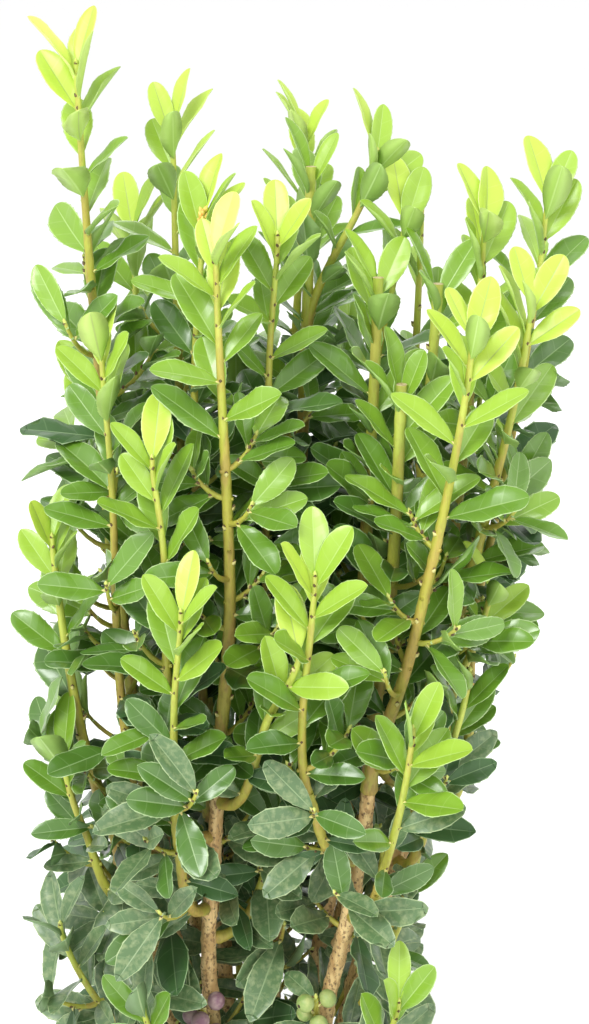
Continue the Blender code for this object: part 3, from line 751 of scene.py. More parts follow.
class Stem:
    """A tapering stem along a smooth path through its knots, which turns upright at its tip."""

    SEGMENT_POINTS = 24
    FEWEST_RINGS = 3
    DIRECTION_REACH = 0.5 * MM

    def __init__(self, knots: Sequence[np.ndarray], start: np.ndarray, root_radius: float,
                 tip_radius: float, step: float) -> None:
        """Lays the path.

        Args:
            knots: places that it passes through, from its root to its tip.
            start: the way it sets off.
            root_radius: its radius at the root.
            tip_radius: its radius at the tip.
            step: the distance between its facets' rings.
        """
        slopes = [unit(start) * np.linalg.norm(knots[1] - knots[0])]
        for before, after in zip(knots, knots[2:]):
            slopes.append((after - before) / 2)
        last = knots[-1] - knots[-2]
        slopes.append((last + UP * np.linalg.norm(last)) / 2)
        parts = [
            self.segment(knots[i], knots[i + 1], slopes[i], slopes[i + 1])
            for i in range(len(knots) - 1)
        ]
        self.fine = np.concatenate(parts)
        lengths = np.linalg.norm(np.diff(self.fine, axis=0), axis=1)
        self.along = np.concatenate([[0.0], np.cumsum(lengths)])
        self.length = float(self.along[-1])
        self.root_radius = root_radius
        self.tip_radius = tip_radius
        rings = max(self.FEWEST_RINGS, round(self.length / step) + 1)
        self.distances = np.linspace(0.0, self.length, rings)

    @classmethod
    def segment(cls, start: np.ndarray, end: np.ndarray, start_slope: np.ndarray,
                end_slope: np.ndarray) -> np.ndarray:
        """Points of one Hermite segment.

        Args:
            start: its first point.
            end: its last point.
            start_slope: its slope there at first.
            end_slope: its slope at the end.

        Returns:
            The points, one row each.
        """
        t = np.linspace(0.0, 1.0, cls.SEGMENT_POINTS)[:, None]
        return (
            (2 * t**3 - 3 * t**2 + 1) * start
            + (t**3 - 2 * t**2 + t) * start_slope
            + (3 * t**2 - 2 * t**3) * end
            + (t**3 - t**2) * end_slope
        )

    def point(self, distance: float) -> np.ndarray:
        """The place on the path at this distance from the root."""
        return np.array([np.interp(distance, self.along, self.fine[:, axis]) for axis in range(3)])

    def direction(self, distance: float) -> np.ndarray:
        """The way the stem points there."""
        start = self.point(max(0.0, distance - self.DIRECTION_REACH))
        return unit(self.point(min(self.length, distance + self.DIRECTION_REACH)) - start)

    def radius(self, distance: float) -> float:
        """The stem's radius there."""
        return float(np.interp(distance, [0.0, self.length], [self.root_radius, self.tip_radius]))

    def distance_at_height(self, height: float) -> float:
        """Where the stem, which rises all the way, reaches this height."""
        return float(np.interp(height, self.fine[:, 2], self.along))

    def ray(self, distance: float, turn: float) -> np.ndarray:
        """The unit vector square to the stem at a distance, turned round it."""
        side, other = across(self.direction(distance))
        return math.cos(turn) * side + math.sin(turn) * other


def grid_faces(rings: int, sides: int, foot: bool = False, top: bool = False) -> list[tuple[int, ...]]:
    """The faces between rings of points that lie one after the other.

    Args:
        rings: how many rings.
        sides: the points in a ring.
        foot: True to close the first ring.
        top: True to close the last one.

    Returns:
        The faces.
    """
    faces = []
    for ring in range(rings - 1):
        for k in range(sides):
            low, high = ring * sides, (ring + 1) * sides
            following = (k + 1) % sides
            faces.append((low + k, low + following, high + following, high + k))
    if foot:
        faces.append(tuple(reversed(range(sides))))
    if top:
        faces.append(tuple(range((rings - 1) * sides, rings * sides)))
    return faces


def tube_points(stem: Stem, distances: Iterable[float], radii: Iterable[float], sides: int) -> np.ndarray:
    """Rings of points round a stem.

    Args:
        stem: the stem.
        distances: where its rings lie.
        radii: the rings' radii.
        sides: the points in a ring.

    Returns:
        An array of rings, points and coordinates.
    """
    side, _ = across(stem.direction(0.0))
    rings = []
    for distance, radius in zip(distances, radii):
        direction = stem.direction(distance)
        side = unit(side - direction * (side @ direction))
        other = np.cross(direction, side)
        rings.append(stem.point(distance) + radius * circle(side, other, sides))
    return np.array(rings)


def rooted(rings: np.ndarray, stem: Stem, depth: float) -> np.ndarray:
    """Rings of points with one more before them, drawn in and sunk into what carries the stem.

    Args:
        rings: the rings of the stem's skin.
        stem: the stem.
        depth: how deep the new ring is sunk.

    Returns:
        All the rings.
    """
    root = stem.point(0.0)
    sunk = root + ROOT_SHARE * (rings[:1] - root) - stem.direction(0.0) * depth
    return np.concatenate([sunk, rings])


@dataclass
class Skeleton:
    """Every stem of the plant, from the source's tables and by its rule."""

    gap: float = 0.3 * MM
    side_gap: float = 0.45 * MM
    head_height: float = 24.0 * MM
    head_radius: float = 10.0 * MM
    bough_root: float = 3.1 * MM
    bough_tip: float = 2.4 * MM
    bough_step: float = 25.0 * MM
    side_shoot: float = 1.9 * MM
    shoot_tip: float = 0.8 * MM
    cut_tip: float = 1.7 * MM
    fork_share: float = 0.72
    fork_thinning: float = 0.9
    shoot_step: float = 34.0 * MM
    tip_growth: float = 1.5 * MM
    boughs: dict[str, Stem] = field(default_factory=dict)

    def grow(self) -> None:
        """Lays the boughs' stems."""
        for limb in BOUGHS:
            root = self.bough_root if limb.on == "trunk" else self.bough_tip
            self.boughs[limb.name] = self.stem(limb, root, self.bough_tip, self.bough_step)

    def root_of(self, limb: Limb) -> tuple[np.ndarray, np.ndarray]:
        """Where a limb starts, just clear of what carries it.

        Args:
            limb: a bough or a shoot.

        Returns:
            The place, and the way it sets off.
        """
        if limb.on == "trunk":
            azimuth, tilt = math.radians(limb.azimuth), math.radians(limb.tilt)
            level = np.array([math.cos(azimuth), math.sin(azimuth), 0.0])
            ray = math.sin(tilt) * level + math.cos(tilt) * UP
            return UP * self.head_height + ray * (self.head_radius + self.gap), ray
        carrier = self.boughs[limb.on]
        if not limb.height:
            direction = carrier.direction(carrier.length)
            return carrier.point(carrier.length) + direction * self.gap, direction
        distance = carrier.distance_at_height(limb.height * MM)
        direction = carrier.direction(distance)
        target = millimetres((*limb.through, limb.tip)[0]) - carrier.point(distance)
        ray = unit(target - direction * (target @ direction))
        return carrier.point(distance) + ray * (carrier.radius(distance) + self.side_gap), ray

    def stem(self, limb: Limb, root_radius: float, tip_radius: float, step: float) -> Stem:
        """A limb's stem.

        Args:
            limb: a bough or a shoot.
            root_radius: its radius at the root.
            tip_radius: its radius at the tip.
            step: the distance between rings.

        Returns:
            The stem.
        """
        root, direction = self.root_of(limb)
        knots = [root, *map(millimetres, limb.through), millimetres(limb.tip)]
        return Stem(knots, direction, root_radius, tip_radius, step)

    def grown(self, stem: Stem) -> Stem:
        """A stem carried on over its tip by its newest growth.

        Args:
            stem: the stem, which is changed.

        Returns:
            The same stem.
        """
        stem.fine = np.vstack([stem.fine, stem.fine[-1] + UP * self.tip_growth])
        stem.length += self.tip_growth
        stem.along = np.append(stem.along, stem.length)
        stem.distances = np.linspace(0.0, stem.length, len(stem.distances))
        return stem

    def shoot(self, limb: Limb) -> list[Stem]:
        """A shoot's stem, and after it the one of its fork.

        Args:
            limb: the shoot.

        Returns:
            One stem or two.
        """
        carried_on = limb.on != "trunk" and not limb.height
        root_radius = self.boughs[limb.on].tip_radius if carried_on else self.side_shoot
        tip_radius = self.cut_tip if limb.cut else self.shoot_tip
        stem = self.stem(limb, root_radius, tip_radius, self.shoot_step)
        if not limb.cut:
            stem = self.grown(stem)
        if limb.fork is None:
            return [stem]
        distance = self.fork_share * stem.length
        knots = [stem.point(distance), millimetres(limb.fork)]
        radius = self.fork_thinning * stem.radius(distance)
        fork = Stem(knots, stem.direction(distance), radius, self.shoot_tip, self.shoot_step)
        return [stem, self.grown(fork)]


@dataclass
class Wood:
    """The trunk and the boughs in one mesh with the bark's relief."""

    skeleton: Skeleton
    foot_radius: float = 17.0 * MM
    waist_radius: float = 10.0 * MM
    ribs: int = 4
    rib_depth: float = 0.35
    rib_turn: float = 0.6
    trunk_sides: int = 72
    trunk_rings: int = 44
    bough_sides: int = 16
    ring_step: float = 1.1 * MM
    relief: float = 0.32 * MM
    coarse_waves: Triple = (420.0, 420.0, 110.0)
    fine_waves: Triple = (1500.0, 1500.0, 420.0)
    fine_share: float = 0.45
    collar: float = 1.5 * MM
    collar_reach: float = 4.0 * MM
    root_depth: float = 3.0 * MM
    scar_step: float = 11.0 * MM
    scar_shifts: int = 7
    scar_rise: float = 0.35 * MM
    scar_reach: float = 0.9 * MM

    def build(self) -> bpy.types.Object:
        """Builds and dresses the wood.

        Returns:
            The piece.
        """
        part = MeshPart()
        self.add_trunk(part)
        for name, stem in self.skeleton.boughs.items():
            self.add_bough(part, stem, sum(map(ord, name)))
        for points in part.points:
            points[:, 2] = np.maximum(points[:, 2], 0.0)
        made = part.piece("trunk_and_boughs", [BarkFinish().material()])
        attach(made, "root")
        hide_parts("trunk", *self.skeleton.boughs)
        return made

    def roughen(self, points: np.ndarray, middle: np.ndarray) -> np.ndarray:
        """Moves a ring's points out and in by the bark's relief.

        Args:
            points: the ring's points.
            middle: the ring's middle.

        Returns:
            The moved points.
        """
        moved = points.copy()
        for k, point in enumerate(points):
            coarse = noise.noise(Vector(point * self.coarse_waves))
            fine = noise.noise(Vector(point * self.fine_waves))
            out = unit(point - middle)
            moved[k] = point + out * self.relief * (coarse + self.fine_share * fine)
        return moved

    def add_trunk(self, part: MeshPart) -> None:
        """Adds the trunk, from the flat cut at ground level over its flare to the domed head.

        Args:
            part: the mesh that it goes into.
        """
        head = self.skeleton.head_height
        rings = []
        for share in np.linspace(0.0, 1.0, self.trunk_rings):
            radius = self.waist_radius + (self.foot_radius - self.waist_radius) * (1 - share) ** 2
            rings.append((radius, head * share, 1.0 - share))
        for tilt in np.linspace(0.0, 0.5 * math.pi, self.trunk_rings // 2, endpoint=False)[1:]:
            height = head + self.waist_radius * math.sin(tilt)
            rings.append((self.waist_radius * math.cos(tilt), height, 0.0))
        turns = np.linspace(0.0, 2 * math.pi, self.trunk_sides, endpoint=False)
        all_points = []
        for radius, height, spread in rings:
            flare = max(0.0, radius - self.waist_radius) * spread
            rib = radius + self.rib_depth * flare * np.cos(self.ribs * turns + self.rib_turn)
            level = np.full(turns.shape, height)
            ring = np.stack([rib * np.cos(turns), rib * np.sin(turns), level], axis=1)
            all_points.append(self.roughen(ring, np.array([0.0, 0.0, height])))
        points = np.concatenate(all_points)
        points[: self.trunk_sides, 2] = 0.0
        part.add(points, grid_faces(len(rings), self.trunk_sides, foot=True, top=True))

    def add_bough(self, part: MeshPart, stem: Stem, start: int) -> None:
        """Adds a bough with a collar at its root and a ridge at each old leaf scar.

        Args:
            part: the mesh that it goes into.
            stem: its stem.
            start: a whole number that moves its scars along it.
        """
        rings = int(stem.length / self.ring_step) + 1
        distances = np.linspace(0.0, stem.length, rings)
        radii = np.array([stem.radius(d) for d in distances])
        radii += self.collar * np.exp(-distances / self.collar_reach)
        shift = start % self.scar_shifts * MM
        offset = (distances + shift) % self.scar_step - self.scar_step / 2
        radii += self.scar_rise * np.exp(-((offset / self.scar_reach) ** 2))
        points = tube_points(stem, distances, radii, self.bough_sides)
        points = rooted(points, stem, self.root_depth)
        middles = [stem.point(0.0), *(stem.point(d) for d in distances)]
        points = np.concatenate([self.roughen(ring, middle) for ring, middle in zip(points, middles)])
        part.add(points, grid_faces(rings + 1, self.bough_sides, top=True))


@dataclass
class Leaf:
    """A blade: where it is rooted, the way it points, its upper side, its size and its bends."""

    root: np.ndarray
    direction: np.ndarray
    upper: np.ndarray
    length: float
    width_share: float
    tip: float
    curl: float
    fold: float
    twist: float
    wave: float
    phase: float
    age: float
    tone: Tone = Tone.MID

    RIGHT_HALF = ((0.16, 0.48), (0.33, 0.81), (0.52, 0.98), (0.72, 0.95), (0.88, 0.72))
    MIDDLE = 0.6
    SLANT = 0.154
    WAVES = 1.7
    THICKNESS = 0.7 * MM

    def solid(self, extra: float) -> tuple[np.ndarray, list[tuple[int, ...]]]:
        """The source's simple blade, for testing what comes near.

        Args:
            extra: how much larger it is on every side.

        Returns:
            Its points and faces.
        """
        half = self.length * self.width_share / 2
        side = np.cross(self.direction, self.upper)
        left_half = [(share, -width) for share, width in reversed(self.RIGHT_HALF)]
        outline = [(0.0, 0.0), *self.RIGHT_HALF, (1.0, 0.0), *left_half]
        share, width = np.array([*outline, (self.MIDDLE, 0.0), (self.MIDDLE, 0.0)]).T
        x = width * (half + extra)
        z = self.fold * np.abs(width) * half - self.curl * self.length * share**2
        ripple = np.sin(2 * math.pi * self.WAVES * share + self.phase * (1.0 + np.sign(width)))
        z += self.wave * np.abs(width) * self.length * ripple
        z[-2:] += np.array([-1.0, 1.0]) * (self.THICKNESS / 2 + extra)
        x, z = turned(x, z, self.twist * share)
        along = np.where(share > 0.0, share * (self.length + extra), -extra)
        along[-2:] -= self.SLANT * self.length
        points = self.root + np.outer(along, self.direction) + np.outer(x, side) + np.outer(z, self.upper)
        faces = []
        for k in range(len(outline)):
            following = (k + 1) % len(outline)
            faces.append((following, k, len(outline)))
            faces.append((k, following, len(outline) + 1))
        return points, faces


class Room:
    """Everything placed so far, so that each mass keeps to its own space."""

    def __init__(self) -> None:
        """Starts empty."""
        self.lows = np.zeros((0, 3))
        self.highs = np.zeros((0, 3))
        self.trees: list[BVHTree] = []
        self.owners: list[str] = []

    @staticmethod
    def tree(points: np.ndarray, faces: Sequence[Sequence[int]]) -> BVHTree:
        """A search tree of a solid's faces."""
        return BVHTree.FromPolygons([Vector(point) for point in points], faces)

    def add(self, owner: str, points: np.ndarray, faces: Sequence[Sequence[int]]) -> None:
        """Puts a solid into the room.

        Args:
            owner: the node whose solid it is.
            points: its points.
            faces: its faces.
        """
        self.lows = np.vstack([self.lows, points.min(axis=0)])
        self.highs = np.vstack([self.highs, points.max(axis=0)])
        self.trees.append(self.tree(points, faces))
        self.owners.append(owner)

    def is_free(self, owner: str, points: np.ndarray, faces: Sequence[Sequence[int]],
                of_own: bool = False) -> bool:
        """Whether a solid touches nothing that other owners, or its own one, have placed.

        Args:
            owner: the node whose solid it is.
            points: its points.
            faces: its faces.
            of_own: True to test against the owner's own solids.

        Returns:
            True where it is free.
        """
        near = np.all((self.lows < points.max(axis=0)) & (self.highs > points.min(axis=0)), axis=1)
        found = [i for i in np.flatnonzero(near) if (self.owners[i] == owner) == of_own]
        if not found:
            return True
        tree = self.tree(points, faces)
        return not any(tree.overlap(self.trees[i]) for i in found)


@dataclass
class BladeForm:
    """The detailed blade: a toothed outline, a sunken midrib, side veins, a margin and an underside."""

    columns: tuple[float, ...] = (-1.0, -0.93, -0.5, -0.04, 0.04, 0.5, 0.93, 1.0)
    back_columns: tuple[float, ...] = (0.06, -0.06)
    foot_rows: tuple[float, ...] = (-0.08, 0.0, 0.05)
    tip_rows: tuple[float, ...] = (0.93, 0.965, 0.99, 1.0)
    stalk_rows: int = 1
    veins: int = 4
    first_vein: float = 0.12
    last_vein: float = 0.77
    vein_width: float = 0.013
    notch: float = 0.014
    vein_slant: float = 0.16
    stalk_half: float = 0.5 * MM
    tip_half: float = 0.25 * MM
    widest: float = 0.58
    foot_power: float = 0.85
    round_power: float = 2.4
    tooth: float = 0.028
    bulge: float = 0.015
    rib: float = 0.008
    groove: float = 0.14 * MM
    thickness: float = 0.30 * MM
    keel: float = 0.35 * MM
    margin_from: float = 0.99
    young_tooth: float = 0.4
    rise_from: float = 0.3
    groove_to: float = 0.05
    stalk_to: float = 0.5
    lines_a_vein: int = 4

    def rows(self) -> tuple[np.ndarray, np.ndarray, np.ndarray]:
        """The blade's cross-lines: four for each side vein, with two teeth of the margin.

        Returns:
            Where each lies along the blade, its rise from 0 on a side vein to 1 between two, and the
            margin's push from 1 at a tooth to -1 in the notch behind it.
        """
        starts = np.linspace(self.first_vein, self.last_vein, self.veins)
        half_gap = (starts[1] - starts[0] + self.vein_width) / 2
        shares = list(self.foot_rows)
        rises = [0.0] * len(shares)
        pushes = [0.0] * len(shares)
        for start in starts:
            shares += [start, start + self.vein_width, start + half_gap, start + half_gap + self.notch]
            rises += [0.0, 0.0, 1.0, 1.0]
            pushes += [1.0, -1.0, 1.0, -1.0]
        end = [0.0] * len(self.tip_rows)
        return np.array([*shares, *self.tip_rows]), np.array([*rises, *end]), np.array([*pushes, *end])

    def faces(self) -> tuple[list[tuple[int, ...]], list[int]]:
        """The blade's faces.

        Returns:
            The faces, and the number of each one's material.
        """
        rows = len(self.rows()[0])
        ring = len(self.columns) + len(self.back_columns)
        slots = [self.part_at(row, k, rows) for row in range(rows - 1) for k in range(ring)]
        faces = grid_faces(rows, ring, foot=True, top=True)
        return faces, [*slots, BladePart.MARGIN, BladePart.MARGIN]

    def part_at(self, row: int, k: int, rows: int) -> BladePart:
        """The part of the blade that a face belongs to.

        Args:
            row: the row of the face, from the foot.
            k: its place in the ring, from the right margin over the upper side to the underside.
            rows: how many cross-lines the blade has.

        Returns:
            The part.
        """
        wide = len(self.columns)
        if row < self.stalk_rows or k in (0, wide - 2):
            return BladePart.MARGIN
        if k == wide // 2 - 1:
            return BladePart.RIB
        if k == wide:
            return BladePart.KEEL
        if k >= wide - 1:
            return BladePart.BACK
        vein_rows = range(len(self.foot_rows), rows - len(self.tip_rows), self.lines_a_vein)
        return BladePart.VEIN if row in vein_rows else BladePart.BLADE

    def half_width(self, share: np.ndarray, tip: np.ndarray) -> np.ndarray:
        """Half the blade's width along it, as a share of the largest half.

        Args:
            share: places along the blade.
            tip: how pointed each blade's tip is: 0.5 for a round one.

        Returns:
            The half widths.
        """
        foot = np.sin(0.5 * math.pi * np.clip(share / self.widest, 0.0, 1.0)) ** self.foot_power
        beyond = np.clip((share - self.widest) / (1.0 - self.widest), 0.0, 1.0)
        return foot * (1.0 - beyond**self.round_power) ** tip

    def points(self, leaves: Sequence[Leaf]) -> np.ndarray:
        """The points of many blades.

        Args:
            leaves: the blades.

        Returns:
            An array of leaves, points and coordinates.
        """
        shares, rises, pushes = self.rows()
        ring = len(self.columns) + len(self.back_columns)
        share, rise, push = (np.repeat(values, ring) for values in (shares, rises, pushes))
        place = np.tile([*self.columns, *self.back_columns], len(shares))
        below = np.tile([0.0] * len(self.columns) + [1.0] * len(self.back_columns), len(shares))
        inner = np.clip(share, 0.0, 1.0)
        arch = 1.0 - (2.0 * np.abs(place) - 1.0) ** 2
        keys = ("root", "direction", "upper", "length", "width_share", "tip", "age", "curl", "fold",
                "twist", "wave", "phase")
        root, direction, upper, length, width, tip, age, curl, fold, twist, wave, phase = (
            np.array([getattr(leaf, key) for leaf in leaves])[:, None] for key in keys
        )
        teeth = 1.0 + push * (np.abs(place) > self.margin_from) * self.tooth * (self.young_tooth + age)
        half = self.half_width(inner, tip) * teeth
        least = np.where(share < self.stalk_to, self.stalk_half, self.tip_half)
        x = place * np.maximum(length * width / 2 * half, least)
        bow = 4 * inner * (1 - inner) * (1.0 - np.abs(place))
        along = (share - self.vein_slant * bow) * length
        z = fold * np.abs(x) - curl * length * inner**2
        z += (self.bulge + self.rib * rise * (np.abs(place) > self.rise_from)) * arch * length * half
        ripple = np.sin(2 * math.pi * Leaf.WAVES * inner + phase * (1.0 + np.sign(place)))
        z += wave * np.abs(place) * half * length * ripple
        z -= np.where(np.abs(place) < self.groove_to, self.groove, 0.0) * half
        z -= (self.thickness + self.keel * (1.0 - inner)) * below
        x, z = turned(x, z, twist * inner)
        side = np.cross(direction, upper)
        return root + direction * along[..., None] + side * x[..., None] + upper * z[..., None]


@dataclass(frozen=True)
class Trait:
    """One of a leaf's measures: young and in the light, its change with age and shade, its chance."""

    young: float = 0.0
    by_age: float = 0.0
    by_shade: float = 0.0
    spread: float = 0.0

    def at(self, age: float, shade: float, draw: float = 0.0) -> float:
        """The measure at an age and a shade from 0 to 1, with a draw from -1 to 1."""
        return self.young + self.by_age * age + self.by_shade * shade + self.spread * draw


@dataclass
class GrowthRule:
    """How leaves and side twigs stand on a stem, as in the source but closer and finer."""

    leaf_step: float = 6.3 * MM
    twig_leaf_step: float = 4.8 * MM
    crowding: float = 0.45
    crowded_reach: float = 30.0 * MM
    fewest_leaves: int = 3
    young_length: float = 20.0 * MM
    old_length: float = 27.0 * MM
    deep_share: float = 1.04
    foot_share: float = 0.6
    foot_reach: float = 60.0 * MM
    twig_share: float = 0.9
    low_twig_share: float = 1.12
    young_angle: float = math.radians(15.0)
    old_angle: float = math.radians(64.0)
    angle_spread: float = 0.13
    roll_spread: float = 0.22
    foot_inset: float = 0.6
    size_spread: Trait = Trait(0.15, by_shade=0.10)
    width: Trait = Trait(0.425, spread=0.045)
    point: Trait = Trait(0.54, by_shade=0.16, spread=0.08)
    curl: Trait = Trait(0.15, spread=0.14)
    fold: Trait = Trait(0.24, by_age=-0.12, spread=0.13)
    twist: Trait = Trait(spread=0.24)
    wave: Trait = Trait(0.008, by_age=0.030)
    wave_spread: float = 0.5
    phase: Trait = Trait(2.0, spread=2.0)
    age_length: float = 135.0 * MM
    age_power: float = 0.55
    light_pull: float = 1.2
    shaded_pull: float = 0.9
    light_rise: float = 0.6
    droop: float = 0.45
    front_lean: float = math.radians(16.0)
    shade_haste: float = 1.4
    lean_haste: float = 1.5
    swing: float = 0.75
    low_height: float = 0.20
    low_reach: float = 0.09
    sunny_side: Triple = (0.0, -1.0, 0.0)
    lowest: float = 6.0 * MM
    clearance: float = 0.15 * MM
    own_reach: float = 4.0 * MM
    tries: tuple[float, ...] = (0.0, 0.4, -0.4, 0.8, -0.8, 1.2, -1.2)
    leaf_draws: int = 8
    twig_step: float = 20.0 * MM
    shaded_twig_step: float = 9.0 * MM
    shaded_height: float = 285.0 * MM
    twig_lengths: tuple[float, float] = (12.0 * MM, 25.0 * MM)
    twig_from_tip: float = 72.0 * MM
    twig_from_bare: float = 2.0 * MM
    step_spread: tuple[float, float] = (0.75, 1.25)
    low_twig_step: float = 5.0 * MM
    low_twig_from: float = 14.0 * MM
    low_twig_to: float = 5.0 * MM
    twig_rise: float = 0.8
    twig_radius: float = 0.95 * MM
    twig_tip: float = 0.55 * MM
    twig_bare: float = 4.0 * MM

    def light_at(self, point: np.ndarray) -> np.ndarray:
        """Where a leaf's upper side turns: up, out from the crown's middle, and to its front.

        Args:
            point: the leaf's place.

        Returns:
            A unit vector.
        """
        sunny = np.array(self.sunny_side)
        outward = unit(np.array([point[0], point[1], 0.0]) + MM * sunny)
        return unit(outward + sunny + UP * self.light_rise)

    def shaded_turn(self, stem: Stem) -> float:
        """The turn round a stem's end that points away from the light.

        Args:
            stem: the stem.

        Returns:
            The turn, in radians.
        """
        side, other = across(stem.direction(stem.length))
        light = self.light_at(stem.point(stem.length))
        return math.atan2(-light @ other, -light @ side)

    def shade(self, point: np.ndarray) -> float:
        """How deep in the shade low down a place lies, from 0 to 1."""
        return float(np.clip((self.low_height - point[2]) / self.low_reach, 0.0, 1.0))

    def places(self, length: float, step: float, first: float) -> list[float]:
        """Distances below a tip at which leaves stand, closer together near the tip.

        Args:
            length: the length of the leafy part.
            step: the distance between leaves lower down.
            first: the distance of the first leaf.

        Returns:
            The distances.
        """
        found = [first]
        while found[-1] < length:
            grown = min(1.0, found[-1] / self.crowded_reach)
            found.append(found[-1] + step * (self.crowding + (1.0 - self.crowding) * grown))
        found.pop()
        if len(found) < self.fewest_leaves:
            found = list(np.linspace(first, max(length, first + MM), self.fewest_leaves))
        return found

    def leaf(self, stem: Stem, from_tip: float, turn: float, age: float, draws: np.ndarray) -> Leaf:
        """The leaf at a distance below a stem's tip.

        Args:
            stem: the stem.
            from_tip: the distance.
            turn: its turn round the stem.
            age: from 0 to 1.
            draws: chance values from -1 to 1 for its size, width and bends.

        Returns:
            The leaf, with no tone yet.
        """
        size, width, curl, lean, roll, fold, twist, point = draws
        distance = stem.length - from_tip
        direction = stem.direction(distance)
        ray = stem.ray(distance, turn)
        shade = self.shade(stem.point(distance)) * min(1.0, age * self.shade_haste)
        angle = self.young_angle + (self.old_angle - self.young_angle) * age + self.angle_spread * lean
        light = self.light_at(stem.point(distance))
        frontal = min(1.0, self.lean_haste * age) * max(0.0, ray @ light) ** 2
        angle += self.front_lean * frontal
        blade = math.cos(angle) * direction + math.sin(angle) * ray
        upper = math.sin(angle) * direction - math.cos(angle) * ray
        aside = unit(np.cross(light, UP))
        blade += self.swing * frontal * math.copysign(1.0, ray @ aside) * aside
        blade = unit(blade - self.droop * shade * UP)
        upper = upper + (self.light_pull + self.shaded_pull * shade) * light
        upper = unit(upper - blade * (upper @ blade))
        upper = unit(upper + self.roll_spread * roll * np.cross(blade, upper))
        length = self.young_length + (self.old_length - self.young_length) * age
        return Leaf(
            root=stem.point(distance) + ray * stem.radius(distance) * self.foot_inset,
            direction=blade,
            upper=upper,
            length=length * (1.0 + self.size_spread.at(age, shade) * size),
            width_share=self.width.at(age, shade, width),
            tip=self.point.at(age, shade, point),
            curl=self.curl.at(age, shade, curl),
            fold=self.fold.at(age, shade, fold),
            twist=self.twist.at(age, shade, twist),
            wave=self.wave.at(age, shade) * (1.0 + self.wave_spread * width),
            phase=self.phase.at(age, shade, roll),
            age=age,
        )


@dataclass
class Spray:
    """A leafy stem that belongs to a shoot or a bough: its own one, its fork or a side twig."""

    owner: str
    stem: Stem
    vigour: Vigour
    bare: float
    cut: bool
    older_by: float
    step: float
    twig: bool = False
    leaves: list[Leaf] = field(default_factory=list)
    scars: list[tuple[float, float]] = field(default_factory=list)


